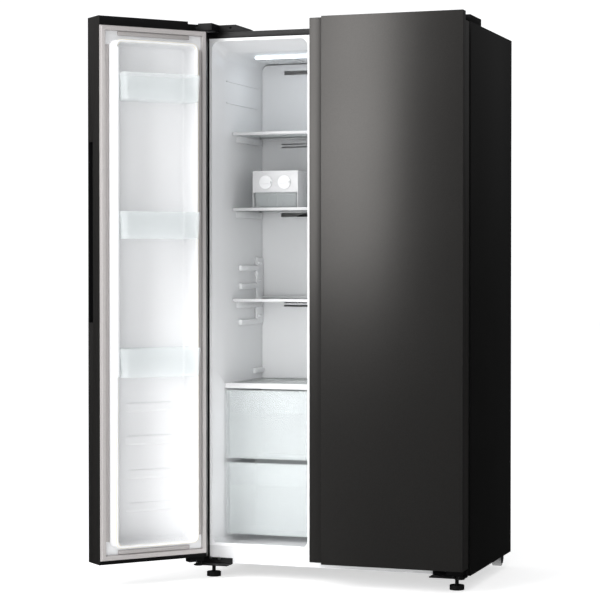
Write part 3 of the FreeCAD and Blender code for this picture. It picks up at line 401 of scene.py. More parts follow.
def softened(node, width, segments=2, angle=38.0, whole=True):
    """Stand-in for a frame node with rounded edges."""
    bm = welded_copy(node, whole)
    edges = [e for e in bm.edges if len(e.link_faces) == 2
             and e.calc_face_angle(0.0) > math.radians(angle)]
    bmesh.ops.bevel(bm, geom=edges, offset=width, offset_type="OFFSET", segments=segments, profile=0.5,
                    affect="EDGES", clamp_overlap=True, harden_normals=False, miter_outer="ARC")
    mesh = bpy.data.meshes.new(node)
    bm.to_mesh(mesh)
    bm.free()
    piece = keep_shape(mesh, node + "_rounded", BODY_OF[node], finish_of(node), 30.0)
    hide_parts(node)
    return piece


# ---------------------------------------------------------------- lofted shapes
def rounded_loop(x0, x1, z0, z1, r, steps=6):
    """Corner points of a rounded rectangle, anticlockwise from its lower right corner."""
    loop = []
    centres = ((x1 - r, z0 + r, -90), (x1 - r, z1 - r, 0), (x0 + r, z1 - r, 90), (x0 + r, z0 + r, 180))
    for cx, cz, start in centres:
        for i in range(steps + 1):
            turn = math.radians(start + 90.0 * i / steps)
            loop.append((cx + r * math.cos(turn), cz + r * math.sin(turn)))
    return loop


def loft(bm, rings, paint=None):
    """Skin through rings of equal length; paint(row, i) picks a face's finish."""
    rows = [[bm.verts.new(point) for point in ring] for ring in rings]
    for k, (near, far) in enumerate(zip(rows, rows[1:])):
        count = len(near)
        for i in range(count):
            j = (i + 1) % count
            face = bm.faces.new((near[i], near[j], far[j], far[i]))
            face.material_index = paint(k, i) if paint else 0
    return rows


def close_end(bm, row, index=0):
    bm.faces.new(row).material_index = index


def framed(x0, x1, z0, z1, steps, cuts):
    """Rings of a moulded frame; a cut is its inset from the outline, its depth and its corner radius."""
    rings = []
    for inset, y, r in cuts:
        loop = rounded_loop(x0 + inset, x1 - inset, z0 + inset, z1 - inset, r, steps)
        rings.append([(x, y, z) for x, z in loop])
    return rings


def soft_block(bm, x0, x1, y0, y1, z0, z1, r, index=0):
    """Block with all its edges rounded."""
    made = bmesh.ops.create_cube(bm, size=1.0)["verts"]
    for v in made:
        v.co = Vector((x0 if v.co.x < 0 else x1, y0 if v.co.y < 0 else y1, z0 if v.co.z < 0 else z1))
    edges = {e for v in made for e in v.link_edges}
    faces = bmesh.ops.bevel(bm, geom=list(edges), offset=r, offset_type="OFFSET", segments=3, profile=0.5,
                            affect="EDGES", clamp_overlap=True)["faces"]
    near = {f for v in made if v.is_valid for f in v.link_faces} | set(faces)
    for face in near:
        face.material_index = index


def tube(bm, path, r, index=0, sides=8):
    """Round bar along points."""
    rows = []
    for k, point in enumerate(path):
        before = path[max(k - 1, 0)]
        after = path[min(k + 1, len(path) - 1)]
        along = (Vector(after) - Vector(before)).normalized()
        side = along.cross(Vector((1, 0, 0)) if abs(along.x) < 0.9 else Vector((0, 1, 0))).normalized()
        up = along.cross(side)
        rows.append([Vector(point) + r * (side * math.cos(a) + up * math.sin(a))
                     for a in (2 * math.pi * i / sides for i in range(sides))])
    made = loft(bm, rows, lambda k, i: index)
    close_end(bm, made[0][::-1], index)
    close_end(bm, made[-1], index)


# ---------------------------------------------------------------- repeated pieces
REPEAT = {}


def repeat_tree():
    """Tree that repeats a piece along a line: its inputs are the count, the step and the finish."""
    if "tree" in REPEAT:
        return REPEAT["tree"]
    tree = bpy.data.node_groups.new("Repeat_along_line", "GeometryNodeTree")
    face = tree.interface
    face.new_socket("Geometry", in_out="INPUT", socket_type="NodeSocketGeometry")
    face.new_socket("Count", in_out="INPUT", socket_type="NodeSocketInt")
    face.new_socket("Step", in_out="INPUT", socket_type="NodeSocketVector")
    face.new_socket("Finish", in_out="INPUT", socket_type="NodeSocketMaterial")
    face.new_socket("Geometry", in_out="OUTPUT", socket_type="NodeSocketGeometry")
    entry = tree.nodes.new("NodeGroupInput")
    leave = tree.nodes.new("NodeGroupOutput")
    line = tree.nodes.new("GeometryNodeMeshLine")
    place = tree.nodes.new("GeometryNodeInstanceOnPoints")
    real = tree.nodes.new("GeometryNodeRealizeInstances")
    paint = tree.nodes.new("GeometryNodeSetMaterial")
    line.mode = "OFFSET"
    tree.links.new(entry.outputs["Count"], line.inputs["Count"])
    tree.links.new(entry.outputs["Step"], line.inputs["Offset"])
    tree.links.new(line.outputs["Mesh"], place.inputs["Points"])
    tree.links.new(entry.outputs["Geometry"], place.inputs["Instance"])
    tree.links.new(place.outputs["Instances"], real.inputs["Geometry"])
    tree.links.new(real.outputs["Geometry"], paint.inputs["Geometry"])
    tree.links.new(entry.outputs["Finish"], paint.inputs["Material"])
    tree.links.new(paint.outputs["Geometry"], leave.inputs["Geometry"])
    REPEAT["tree"] = tree
    return tree


def repeated(bm, name, body, slot, lines, angle=32.0):
    """Piece made of one shape repeated along lines, each a count and a step."""
    bmesh.ops.recalc_face_normals(bm, faces=bm.faces)
    one = bpy.data.meshes.new(name + "_one")
    bm.to_mesh(one)
    bm.free()
    holder = bpy.data.objects.new(name + "_holder", one)
    bpy.context.scene.collection.objects.link(holder)
    tree = repeat_tree()
    sockets = {item.name: item.identifier for item in tree.interface.items_tree if item.in_out == "INPUT"}
    for count, step in lines:
        modifier = holder.modifiers.new("Repeat", "NODES")
        modifier.node_group = tree
        modifier[sockets["Count"]] = count
        modifier[sockets["Step"]] = step
        modifier[sockets["Finish"]] = FINISH[slot]
    graph = bpy.context.evaluated_depsgraph_get()
    plain = bpy.data.meshes.new_from_object(holder.evaluated_get(graph), preserve_all_data_layers=True,
                                            depsgraph=graph)
    holder.modifiers.clear()
    bpy.data.objects.remove(holder)
    return keep_shape(plain, name, body, FINISH[slot], angle)


def screw_head(r, height, at, facing):
    """Cross-slotted pan head."""
    bm = bmesh.new()
    arms = [0.55 if i % 3 == 0 else 0.2 for i in range(12)]
    rings = []
    for radius, level in ((1.0, 0.0), (1.0, 0.45), (0.86, 0.85), (0.68, 1.0)):
        rings.append([(radius * math.cos(math.pi * i / 6), radius * math.sin(math.pi * i / 6), level)
                      for i in range(12)])
    for level in (1.0, 0.35):
        rings.append([(arms[i] * math.cos(math.pi * i / 6), arms[i] * math.sin(math.pi * i / 6), level)
                      for i in range(12)])
    rows = loft(bm, rings)
    close_end(bm, rows[0][::-1])
    close_end(bm, rows[-1])
    turn = Vector(facing).to_track_quat("Z", "Y").to_matrix().to_4x4()
    bm.transform(Matrix.Translation(at) @ turn @ Matrix.Diagonal((r, r, height, 1.0)))
    return bm


# ---------------------------------------------------------------- doors
class Leaf:
    """One door in its own closed coordinates: x from its hinge edge, y depth, z height."""

    def __init__(self, side):
        self.side = side
        joint = JOINT[side]
        hinge = Vector((joint["pos_m"][0], joint["pos_m"][1], 0.0))
        closing = math.radians(joint["range_deg"][0]) * joint["axis"][2]
        turn = Matrix.Translation(hinge) @ Matrix.Rotation(closing, 4, "Z") @ Matrix.Translation(-hinge)
        flip = Matrix.Identity(4) if side == "left_door" else Matrix.Scale(-1.0, 4, (1, 0, 0))
        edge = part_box("cabinet_shell")[0].x
        self.to_local = Matrix.Translation((-edge, 0, 0)) @ flip @ turn
        self.to_row = self.to_local.inverted()

    def points(self, part):
        return [self.to_local @ v.co for v in frame["nodes"][self.side + "_" + part].data.vertices]

    def span(self, part, keep=None):
        """Lowest and highest corner of one of the door's nodes."""
        points = [p for p in self.points(part) if keep is None or keep(p)]
        return Vector(map(min, zip(*points))), Vector(map(max, zip(*points)))

    def piece(self, bm, part, name, finish, slot, angle=32.0):
        bm.transform(self.to_row)
        piece = from_bmesh(bm, self.side + "_" + name, self.side, finish, angle)
        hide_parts(self.side + "_" + part)
        return piece

    def liner(self):
        """Thermoformed inner sheet: flange, raised rim, recess and low ribs."""
        low, high = self.span("liner")
        flange = self.span("gasket")[0].y
        rim_low, rim_high = self.span("liner", lambda p: p.y > flange + 0.02)
        floor_low = self.span("liner", lambda p: p.y < low.y + 0.0005)[0]
        deep = low.y + 0.0015
        crest = high.y
        wall = floor_low.x + 0.0015 - rim_low.x
        bm = bmesh.new()
        x0, x1, z0, z1 = rim_low.x, rim_high.x, rim_low.z, rim_high.z
        outer = [
            [(x, flange - 0.0015, z) for x, z in rounded_loop(low.x, high.x, low.z, high.z, 0.002, 7)],
            [(x, flange, z) for x, z in rounded_loop(low.x, high.x, low.z, high.z, 0.002, 7)],
        ]
        cuts = [
            (-0.0030, flange, 0.0250), (-0.0008, flange + 0.0010, 0.0228), (0.0, flange + 0.0040, 0.0220),
            (0.0006, crest - 0.0060, 0.0214), (0.0012, crest - 0.0030, 0.0208),
            (0.0027, crest - 0.0010, 0.0193),
            (0.0048, crest, 0.0172), (0.0068, crest, 0.0152), (wall - 0.0020, crest - 0.0012, 0.0140),
            (wall - 0.0006, crest - 0.0036, 0.0140), (wall, crest - 0.0075, 0.0140),
            (wall, deep + 0.0110, 0.0140), (wall + 0.0008, deep + 0.0068, 0.0132),
            (wall + 0.0030, deep + 0.0031, 0.0115), (wall + 0.0064, deep + 0.0009, 0.0090),
            (wall + 0.0105, deep, 0.0070),
        ]
        rows = loft(bm, outer + framed(x0, x1, z0, z1, 7, cuts))
        close_end(bm, rows[-1])
        for bottom, top in self.rib_rows(deep):
            self.rib(bm, x0 + wall + 0.033, x1 - wall - 0.055, deep, bottom, top)
        if self.side == "left_door":
            self.lip(bm, x1, crest, z0, z1)
        return self.piece(bm, "liner", "inner_sheet", FINISH["door_liner_plastic"], "door_liner_plastic",
                          40.0)

    def rib_rows(self, deep):
        """Heights of the low ribs, read from the frame."""
        crest = deep + 0.004
        levels = sorted({round(p.z, 4) for p in self.points("liner") if abs(p.y - crest) < 0.0003})
        return list(zip(levels[::2], levels[1::2]))

    def rib(self, bm, x0, x1, deep, bottom, top):
        """Soft ridge that fades out at both ends."""
        across, up = 30, 14
        grid = []
        for i in range(across + 1):
            x = x0 + (x1 - x0) * i / across
            column = []
            for j in range(up + 1):
                z = bottom + (top - bottom) * j / up
                end = min(x - x0, x1 - x) / 0.030
                side = min(z - bottom, top - z) / 0.006
                along, over = min(end, 1.0), min(side, 1.0)
                rise = along ** 2 * (3 - 2 * along) * over ** 2 * (3 - 2 * over)
                column.append(bm.verts.new((x, deep - 0.0003 + 0.0040 * rise, z)))
            grid.append(column)
        for a, b in zip(grid, grid[1:]):
            for j in range(up):
                bm.faces.new((a[j], a[j + 1], b[j + 1], b[j]))

    def lip(self, bm, x1, crest, z0, z1):
        """Upper bin ledge: the rim's free side is thicker down to the lowest bin."""
        soft_block(bm, x1 - 0.0130, x1 - 0.0020, crest - 0.0200, crest + 0.0025, z0 + 0.5355, z1 - 0.0240,
                   0.0035)

    def gasket(self):
        """Magnetic seal: mitred outer bead, and inner bellows that end short of the corners."""
        low, high = self.span("gasket")
        back, face = low.y, high.y
        bm = bmesh.new()
        profile = ((0.0, 0.0), (0.0, 0.35), (0.0009, 0.42), (0.0024, 0.42), (0.0030, 0.55),
                   (0.0030, 0.90), (0.0042, 1.0), (0.0142, 1.0), (0.0156, 0.88), (0.0158, 0.45),
                   (0.0166, 0.30), (0.0166, 0.0))
        rings = []
        for inset, share in profile:
            y = back + share * (face - back)
            x0, x1 = low.x + inset, high.x - inset
            z0, z1 = low.z + inset, high.z - inset
            rings.append([(x0, y, z0), (x1, y, z0), (x1, y, z1), (x0, y, z1)])
        rings.append(rings[0])
        rows = [[bm.verts.new(point) for point in ring] for ring in rings[:-1]]
        rows.append(rows[0])
        for near, far in zip(rows, rows[1:]):
            for i in range(4):
                j = (i + 1) % 4
                bm.faces.new((near[i], near[j], far[j], far[i]))
        stop, inner, height = 0.060, 0.0300, 0.45 * (face - back)
        bars = (
            (low.x + 0.0170, low.x + inner, low.z + stop, high.z - stop),
            (high.x - inner, high.x - 0.0170, low.z + stop, high.z - stop),
            (low.x + stop, high.x - stop, low.z + 0.0170, low.z + inner),
            (low.x + stop, high.x - stop, high.z - inner, high.z - 0.0170),
        )
        for bx0, bx1, bz0, bz1 in bars:
            soft_block(bm, bx0, bx1, back, back + height, bz0, bz1, 0.0018)
        return self.piece(bm, "gasket", "seal", FINISH["gasket_rubber"], "gasket_rubber", 30.0)

    def bins(self, sizes):
        """Clear bins with a tinted rim band, a sharp lower edge in painted shade and a clip slot outlined in
        painted shade.
        """
        bm = bmesh.new()
        for bottom, top in self.bin_levels():
            low, high = self.span("bins", lambda p: bottom - 0.001 < p.z < top + 0.001)
            self.one_bin(bm, low, high, sizes.clear_wall, self.side == "left_door")
        finishes = [FINISH["clear_plastic"], FINISH["clear_edge"], FINISH["painted_shade_edge"]]
        return self.piece(bm, "bins", "clear_bins", finishes, "clear_plastic", 35.0)

    def bin_levels(self):
        """Bottom and top of each bin, read from the frame."""
        heights = sorted({round(p.z, 4) for p in self.points("bins")})
        levels = [[heights[0], heights[0]]]
        for z in heights[1:]:
            if z - levels[-1][1] > 0.1:
                levels.append([z, z])
            levels[-1][1] = z
        return levels

    def one_bin(self, bm, low, high, wall, sloped):
        fall = 0.030 if sloped else 0.0
        h = high.z - low.z
        steps = 6
        rings = []

        def ring(z, inset, r):
            back = low.y + max(0.0, fall - (z - low.z)) + (0.0 if z > low.z + fall else 0.0005)
            side = inset + 0.006 * (1.0 - (z - low.z) / h)
            loop = rounded_loop(low.x + side, high.x - side, back + inset, high.y - inset, r, steps)
            rings.append([(x, y, z) for x, y in loop])

        ring(low.z, 0.0022, 0.0100)
        ring(low.z + 0.0006, 0.0008, 0.0112)
        ring(low.z + 0.0020, 0.0004, 0.0116)
        for z in (low.z + max(fall, 0.010), high.z - 0.0125):
            ring(z, 0.0004, 0.0116)
        ring(high.z - 0.0120, 0.0, 0.0120)
        ring(high.z - 0.0006, 0.0, 0.0120)
        ring(high.z, 0.0006, 0.0114)
        ring(high.z, wall, 0.0096)
        ring(high.z - 0.0125, wall + 0.0004, 0.0092)
        if fall:
            ring(low.z + fall + wall, wall + 0.0004, 0.0092)
        ring(low.z + wall, wall + 0.0010, 0.0086)

        # index 2 lays painted shade on part of the bottom rounding; index 1 is the tinted rim band and corner
        # lines
        def paint(k, i):
            front = steps < i % (4 * (steps + 1)) <= 2 * steps
            if k in (4, 5, 6, 7, 8):
                return 1
            if k in (0, 1):
                return 2 if front or i in (steps, 2 * steps + 1) else 1
            if k in (2, 3) and i in (steps + 1 + steps // 2, 2 * (steps + 1) + steps // 2):
                return 1
            return 0

        rows = loft(bm, rings, paint)
        close_end(bm, rows[0][::-1])
        close_end(bm, rows[-1])
        # clip slot: a thin arch in painted shade
        x = low.x + 0.0055
        y = (low.y + high.y) / 2 - 0.010
        arch = [(x, y - 0.012, low.z + 0.004), (x, y - 0.012, low.z + 0.040)]
        arch += [(x, y - 0.012 * math.cos(a), low.z + 0.040 + 0.012 * math.sin(a))
                 for a in (math.pi * k / 8 for k in range(1, 8))]
        arch += [(x, y + 0.012, low.z + 0.040), (x, y + 0.012, low.z + 0.004)]
        tube(bm, arch, 0.0009, 2)


# ---------------------------------------------------------------- drawers
def clear_drawer(node):
    """Clear drawer: front with tinted edges, scooped pull with a border in painted shade, rounded tray with a
    bright, nearly opaque floor and painted highlight strips on its rounded corners.
    """
    low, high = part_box(node)
    bm = bmesh.new()
    band = 0.075
    t = 0.0025
    y = low.y

    def front(inset, depth, r):
        return [(x, y + depth, z) for x, z in
                rounded_loop(low.x + inset, high.x - inset, low.z + inset, high.z - inset, r, 5)]

    rows = loft(bm, [front(0.0020, t, 0.0060), front(0.0004, t, 0.0076), front(0.0, t - 0.0006, 0.0080),
                     front(0.0, 0.0008, 0.0080), front(0.0005, 0.0002, 0.0075), front(0.0018, 0.0, 0.0062)],
                lambda k, i: 1)
    close_end(bm, rows[0][::-1])
    close_end(bm, rows[-1])
    # pull: a scoop behind the front with a thin rounded border in painted shade
    px0, px1, pz0 = low.x + 0.012, high.x - 0.012, high.z - band
    r = 0.012
    border = [(px0, y + 0.0045, high.z - 0.003), (px0, y + 0.0045, pz0 + r)]
    border += [(px0 + r - r * math.cos(a), y + 0.0045, pz0 + r - r * math.sin(a))
               for a in (math.pi * k / 12 for k in range(1, 6))]
    border += [(px0 + r, y + 0.0045, pz0), (px1 - r, y + 0.0045, pz0)]
    border += [(px1 - r + r * math.sin(a), y + 0.0045, pz0 + r - r * math.cos(a))
               for a in (math.pi * k / 12 for k in range(1, 6))]
    border += [(px1, y + 0.0045, pz0 + r), (px1, y + 0.0045, high.z - 0.003)]
    tube(bm, border, 0.0009, 2, 6)
    scoop = []
    for k in range(13):
        a = math.pi * k / 12
        scoop.append((y + 0.0040 + 0.0150 * math.sin(a), pz0 + 0.002 + (band - 0.006) * k / 12))
    shell = scoop + [(ya + 0.0012, za) for ya, za in reversed(scoop)]
    ends = loft(bm, [[(x, ya, za) for ya, za in shell] for x in (px0 + 0.002, px1 - 0.002)])
    close_end(bm, ends[0][::-1])
    close_end(bm, ends[-1])
    # tray
    def level(z, inset, r):
        return [(x, yy, z) for x, yy in
                rounded_loop(low.x + 0.003 + inset, high.x - 0.003 - inset, y + 0.006 + inset,
                             high.y - inset, r, 6)]

    top = high.z - 0.004
    w = t
    rings = [level(low.z + 0.0002, 0.006, 0.008), level(low.z + 0.002, 0.002, 0.012),
             level(low.z + 0.006, 0.0005, 0.0135), level(top - 0.001, 0.0, 0.014), level(top, 0.0008, 0.0132),
             level(top, w, 0.0115), level(low.z + 0.007, w + 0.0005, 0.011),
             level(low.z + 0.0035, w + 0.003, 0.009)]
    # index 3 below paints a highlight strip up the middle (point mid) of each rounded corner of the tray walls and
    # makes the floor nearly opaque; index 1 is the tinted rim
    mid = 3

    def paint(k, i):
        if k in (3, 4):
            return 1
        if k in (2, 5) and i % 7 == mid:
            return 3
        return 3 if k == 6 or k <= 1 else 0

    rows = loft(bm, rings, paint)
    close_end(bm, rows[0][::-1], 3)
    close_end(bm, rows[-1], 3)
    # finish 2 is painted shade, finish 3 the nearly opaque floor with painted highlight strips
    finishes = [FINISH["clear_plastic"], FINISH["clear_edge"], FINISH["painted_shade_edge"], FINISH["opaque_floor_and_painted_highlight"]]
    piece = from_bmesh(bm, node + "_clear", BODY_OF[node], finishes, 35.0)
    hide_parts(node)
    return piece


def clear_box(node):
    """Small clear box whose rounded edge lines and two front lines are painted dark as shade."""
    low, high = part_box(node)
    bm = bmesh.new()

    def level(z, inset, r):
        return [(x, y, z) for x, y in
                rounded_loop(low.x + inset, high.x - inset, low.y + inset, high.y - inset, r, 5)]

    rings = [level(low.z, 0.0050, 0.007), level(low.z + 0.0012, 0.0035, 0.008),
             level(low.z + 0.004, 0.0030, 0.009), level(high.z - 0.004, 0.0012, 0.010),
             level(high.z - 0.0035, 0.0, 0.010), level(high.z, 0.0, 0.010),
             level(high.z, 0.0030, 0.008), level(low.z + 0.003, 0.0055, 0.007)]

    # index 2 is painted shade on the bottom rounding, the top lip and the middle of each corner; index 1 is the
    # tinted rim band
    def paint(k, i):
        if k in (0, 1, 5) or (k == 2 and i % 6 == 2):
            return 2
        return 1 if k in (3, 4) else 0

    rows = loft(bm, rings, paint)
    close_end(bm, rows[0][::-1], 0)
    close_end(bm, rows[-1], 0)
    # two vertical lines in painted shade on the front
    for share in (0.33, 0.67):
        x = low.x + share * (high.x - low.x)
        tube(bm, [(x, low.y + 0.004, low.z + 0.004), (x, low.y + 0.004, high.z - 0.014)], 0.0008, 2, 6)
    finishes = [FINISH["clear_plastic"], FINISH["clear_edge"], FINISH["painted_shade_edge"]]
    piece = from_bmesh(bm, node + "_clear", BODY_OF[node], finishes, 35.0)
    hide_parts(node)
    return piece


class FridgeStep:
    """What every build step of the refrigerator shares."""

    bl_options = {"REGISTER", "UNDO"}

    def execute(self, context):
        self.build(context.scene.fridge_sizes, context.scene.fridge_finish)
        return {"FINISHED"}


# ---------------------------------------------------------------- steps
class FRIDGE_OT_finishes(FridgeStep, bpy.types.Operator):
    """Make all finishes and lay them on the frame's nodes"""

    bl_idname = "fridge.finishes"
    bl_label = "Finishes"

    def build(self, sizes, look):
        make_finishes(look)
        for node in frame["nodes"]:
            dress(node)


class FRIDGE_OT_sheet_metal(FridgeStep, bpy.types.Operator):
    """Round the folded edges of the cabinet's and doors' sheet metal"""

    bl_idname = "fridge.sheet_metal"
    bl_label = "Sheet metal"

    def build(self, sizes, look):
        for node in ("left_door_skin", "right_door_skin", "right_door_grip_strip", "cabinet_shell",
                     "mullion_plate", "front_plinth", "bottom_hinge_brackets", "top_hinge_plates"):
            most = BRACKET_ROUND if node == "bottom_hinge_brackets" else SHEET_ROUND
            softened(node, min(sizes.edge_round, most), 2)


class FRIDGE_OT_mouldings(FridgeStep, bpy.types.Operator):
    """Round the edges of the moulded plastic pieces"""

    bl_idname = "fridge.mouldings"
    bl_label = "Mouldings"

    def build(self, sizes, look):
        for node in ("left_door_top_cap", "left_door_bottom_cap", "right_door_top_cap",
                     "right_door_bottom_cap", "hinge_covers", "shelf_brackets", "ice_maker_housing",
                     "control_panel"):
            softened(node, sizes.plastic_round, 3)
        for node in ("freezer_shelf_glass", "fridge_shelf_glass"):
            softened(node, GLASS_ROUND, 2)
        for node in ("freezer_shelf_trims", "fridge_shelf_trims"):
            softened(node, TRIM_ROUND, 2, whole=False)


class FRIDGE_OT_doors(FridgeStep, bpy.types.Operator):
    """Make the inner sheet, seal and clear bins of both doors"""

    bl_idname = "fridge.doors"
    bl_label = "Door insides"

    def build(self, sizes, look):
        for side in ("left_door", "right_door"):
            leaf = Leaf(side)
            leaf.liner()
            leaf.gasket()
            leaf.bins(sizes)


class FRIDGE_OT_drawers(FridgeStep, bpy.types.Operator):
    """Make the clear drawers, crispers and ice box"""

    bl_idname = "fridge.drawers"
    bl_label = "Drawers"

    def build(self, sizes, look):
        for node in ("freezer_drawer_upper", "freezer_drawer_lower", "crisper_upper", "crisper_lower"):
            clear_drawer(node)
        clear_box("ice_box")


class FRIDGE_OT_wall_fittings(FridgeStep, bpy.types.Operator):
    """Make the shelf rails, hooks and faint ridges on the compartment walls"""

    bl_idname = "fridge.wall_fittings"
    bl_label = "Wall fittings"

    def build(self, sizes, look):
        for room in ("freezer", "fridge"):
            low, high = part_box(room + "_back_cover")
            for side, inward, edge in (("left", 1.0, low.x - 0.001), ("right", -1.0, high.x + 0.001)):
                self.rails(room, side, inward, edge, low.y, sizes)

    def bar(self, inward, edge, back, y0, y1, z0, z1, proud, r):
        """Rounded bar on the side wall, which opens a little towards the front."""
        bm = bmesh.new()
        x = edge - inward * WALL_OPENING * (back - y0) / WALL_DEPTH
        soft_block(bm, min(x, x + inward * proud), max(x, x + inward * proud), y0, y1, z0, z1, r)
        return bm

    def rails(self, room, side, inward, edge, back, sizes):
        name = room + "_" + side
        bm = self.bar(inward, edge, back, back - 0.222, back - 0.068, 0.9905, 1.0105, 0.013, 0.0045)
        repeated(bm, name + "_shelf_rails", "cabinet", "liner_plastic", [(RAIL_COUNT, RAIL_STEP)])
        bm = self.bar(inward, edge, back, back - 0.070, back - 0.008, 0.809, 1.038, 0.009, 0.004)
        from_bmesh(bm, name + "_rail_post", "cabinet", FINISH["liner_plastic"])
        bm = self.bar(inward, edge, back, back - 0.062, back - 0.040, 1.0155, 1.0235, 0.016, 0.003)
        repeated(bm, name + "_rail_hooks", "cabinet", "liner_plastic", [(RAIL_COUNT, RAIL_STEP)])
        bm = self.bar(inward, edge, back, back - 0.090, back - 0.004, 0.641, 0.660, 0.012, 0.0045)
        from_bmesh(bm, name + "_low_hook", "cabinet", FINISH["liner_plastic"])
        bm = self.bar(inward, edge, back, back - 0.330, back - 0.030, 1.613, 1.616, 0.0042, 0.0012)
        repeated(bm, name + "_wall_ridges", "cabinet", "liner_plastic", [(sizes.wall_ridges, RIDGE_STEP)])


class FRIDGE_OT_small_details(FridgeStep, bpy.types.Operator):
    """Make the rear grille's slats, the ceiling ridges and the screw heads"""

    bl_idname = "fridge.small_details"
    bl_label = "Slats, ridges and screws"

    def build(self, sizes, look):
        self.slats(sizes)
        self.ceiling_ridges()
        self.screws()

    def slats(self, sizes):
        """Inward-tilted slat over each louvre opening, in four banks."""
        inner, outer = (corner.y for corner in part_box("rear_grille"))
        section = [(inner - 0.0055, 0.1140), (inner - 0.0050, 0.1132), (outer - 0.0003, 0.1066),
                   (outer - 0.0003, 0.1076)]
        for k, x in enumerate(SLAT_BANKS):
            bm = bmesh.new()
            rows = loft(bm, [[(x + dx, y, z) for y, z in section] for dx in (-SLAT_HALF, SLAT_HALF)])
            close_end(bm, rows[0][::-1])
            close_end(bm, rows[-1])
            repeated(bm, "rear_slats_%d" % k, "cabinet", "grille_steel", [(sizes.grille_slats, SLAT_STEP)])

    def ceiling_ridges(self):
        """Two low ridges behind the lamp on the freezer's ceiling."""
        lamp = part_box("ceiling_lamps")[1]
        bm = bmesh.new()
        soft_block(bm, -0.3315, -0.3285, lamp.y + 0.040, lamp.y + 0.195, lamp.z - 0.0035, lamp.z + 0.0005,
                   0.0009)
        repeated(bm, "freezer_ceiling_ridges", "cabinet", "liner_plastic", [(2, CEILING_RIDGE_STEP)])

    def screws(self):
        """Cross-slotted heads on the front of the lower brackets."""
        for side, inward in (("left", 1.0), ("right", -1.0)):
            bm = screw_head(SCREW_RADIUS, SCREW_HEIGHT, (inward * SCREW_X, -0.0206, 0.060), (0, -1, 0))
            repeated(bm, side + "_bracket_screws", "cabinet", "plated_steel",
                     [(2, (inward * SCREW_SPACING, 0.0, 0.0))])


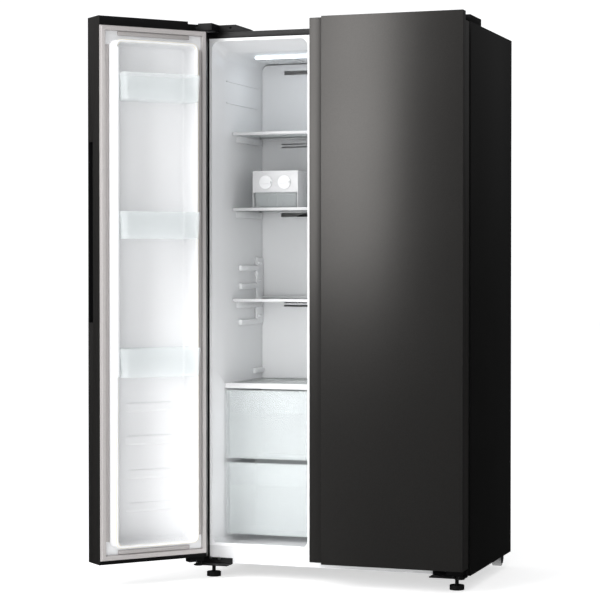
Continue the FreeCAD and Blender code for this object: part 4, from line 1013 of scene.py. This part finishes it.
class FRIDGE_OT_stage(FridgeStep, bpy.types.Operator):
    """Pale floor, soft studio lights and the camera"""

    bl_idname = "fridge.stage"
    bl_label = "Stage"

    def build(self, sizes, look):
        self.floor()
        self.lights(sizes)
        self.camera()

    def floor(self):
        bm = bmesh.new()
        bmesh.ops.create_grid(bm, x_segments=8, y_segments=8, size=30.0)
        mesh = bpy.data.meshes.new("floor")
        bm.to_mesh(mesh)
        bm.free()
        floor = bpy.data.objects.new("floor", mesh)
        bpy.context.scene.collection.objects.link(floor)
        finish, tree, shade, where = new_finish("Pale_floor")
        soft = noise(tree, stretched(tree, where, (1.0, 1.0, 1.0)), 1.5, 2.0, 0.5)
        tree.links.new(two_tone(tree, spread(tree, soft, 0.0, 1.0), (0.88, 0.88, 0.88), (0.9, 0.9, 0.9)),
                       shade.inputs["Base Color"])
        shade.inputs["Roughness"].default_value = 0.75
        shade.inputs["Specular IOR Level"].default_value = 0.1
        shade.inputs["Emission Color"].default_value = (1.0, 1.0, 1.0, 1.0)
        shade.inputs["Emission Strength"].default_value = 0.6
        mesh.materials.append(finish)
        floor.visible_glossy = False

    def surroundings(self):
        """White surroundings, whose reflection is soft grey above and dim below the horizon."""
        scene = bpy.context.scene
        scene.view_settings.view_transform = "Standard"
        scene.view_settings.look = "None"
        world = bpy.data.worlds.new("Studio")
        scene.world = world
        world.use_nodes = True
        tree = world.node_tree
        tree.nodes.clear()
        out = tree.nodes.new("ShaderNodeOutputWorld")
        room = tree.nodes.new("ShaderNodeBackground")
        mirrored = tree.nodes.new("ShaderNodeBackground")
        path = tree.nodes.new("ShaderNodeLightPath")
        pick = tree.nodes.new("ShaderNodeMixShader")
        where = tree.nodes.new("ShaderNodeTexCoord")
        split = tree.nodes.new("ShaderNodeSeparateXYZ")
        room.inputs["Color"].default_value = (0.985, 0.99, 1.0, 1.0)
        tree.links.new(where.outputs["Generated"], split.inputs["Vector"])
        rise = spread(tree, split.outputs["Z"], 0.025, 0.5, 0.0, 0.9)
        tree.links.new(rise, mirrored.inputs["Strength"])
        seen = tree.nodes.new("ShaderNodeMath")
        seen.operation = "MULTIPLY_ADD"
        seen.inputs[1].default_value = 0.65
        seen.inputs[2].default_value = 0.48
        tree.links.new(path.outputs["Is Camera Ray"], seen.inputs[0])
        tree.links.new(seen.outputs[0], room.inputs["Strength"])
        tree.links.new(path.outputs["Is Glossy Ray"], pick.inputs["Fac"])
        tree.links.new(room.outputs["Background"], pick.inputs[1])
        tree.links.new(mirrored.outputs["Background"], pick.inputs[2])
        tree.links.new(pick.outputs["Shader"], out.inputs["Surface"])

    def panel_light(self, name, at, target, size, power, colour=(1.0, 1.0, 1.0)):
        data = bpy.data.lights.new(name, "AREA")
        data.shape = "RECTANGLE"
        data.size, data.size_y = size
        data.energy = power
        data.color = colour
        lamp = bpy.data.objects.new(name, data)
        lamp.location = at
        lamp.rotation_euler = (Vector(target) - Vector(at)).to_track_quat("-Z", "Y").to_euler()
        bpy.context.scene.collection.objects.link(lamp)
        return lamp

    def lights(self, sizes):
        self.surroundings()
        self.panel_light("key_panel", (-2.35, -4.0, 3.1), (-0.55, 0.0, 2.25), (2.6, 4.2), 190.0)
        fill = self.panel_light("fill_panel", (1.3, -5.6, 1.5), (-0.2, 0.0, 0.8), (2.4, 2.4), 56.0)
        fill.visible_glossy = False
        inside = self.panel_light("inside_panel", (-0.235, -0.62, 0.50), (-0.235, 0.35, 0.36),
                                  (0.26, 0.95), 1.0)
        inside.data.spread = math.radians(75.0)
        inside.visible_glossy = False
        inside.visible_camera = False
        self.panel_light("top_panel", (0.0, -0.9, 4.4), (0.0, -0.2, 0.0), (3.5, 3.0), 30.0)
        for node in ("freezer", "fridge"):
            low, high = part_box(node + "_liner")
            mid = (low.x + high.x) / 2
            lamp_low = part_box("ceiling_lamps")[0]
            lamp = self.panel_light(node + "_lamp_light", (mid, lamp_low.y + 0.011, lamp_low.z - 0.004),
                                    (mid, lamp_low.y - 0.10, 0.0), (0.18, 0.018), sizes.lamp_watts,
                                    (0.92, 0.96, 1.0))
            lamp.visible_glossy = False

    def camera(self):
        data = bpy.data.cameras.new("front_right_view")
        data.sensor_width = 36.0
        data.lens = CAMERA_LENS
        data.clip_start, data.clip_end = 0.1, 200.0
        camera = bpy.data.objects.new("front_right_view", data)
        camera.location = CAMERA_PLACE
        camera.rotation_euler = (CAMERA_TILT, 0.0, CAMERA_TURN)
        bpy.context.scene.collection.objects.link(camera)
        bpy.context.scene.camera = camera


STEPS = (
    FRIDGE_OT_finishes,
    FRIDGE_OT_sheet_metal,
    FRIDGE_OT_mouldings,
    FRIDGE_OT_doors,
    FRIDGE_OT_drawers,
    FRIDGE_OT_wall_fittings,
    FRIDGE_OT_small_details,
    FRIDGE_OT_stage,
)


class FRIDGE_PT_build(bpy.types.Panel):
    """Build steps of the refrigerator."""

    bl_label = "Refrigerator"
    bl_idname = "FRIDGE_PT_build"
    bl_space_type = "VIEW_3D"
    bl_region_type = "UI"
    bl_category = "Refrigerator"

    def draw(self, context):
        for group in (context.scene.fridge_finish, context.scene.fridge_sizes):
            box = self.layout.box()
            for name in group.__annotations__:
                box.prop(group, name)
        for step in STEPS:
            self.layout.operator(step.bl_idname)


CLASSES = (FridgeFinish, FridgeSizes, *STEPS, FRIDGE_PT_build)


def register():
    for one in CLASSES:
        bpy.utils.register_class(one)
    bpy.types.Scene.fridge_finish = PointerProperty(type=FridgeFinish)
    bpy.types.Scene.fridge_sizes = PointerProperty(type=FridgeSizes)


def unregister():
    del bpy.types.Scene.fridge_sizes
    del bpy.types.Scene.fridge_finish
    for one in reversed(CLASSES):
        bpy.utils.unregister_class(one)


def main():
    register()
    for step in STEPS:
        group, name = step.bl_idname.split(".")
        getattr(getattr(bpy.ops, group), name)()


if __name__ == "__main__":
    main()
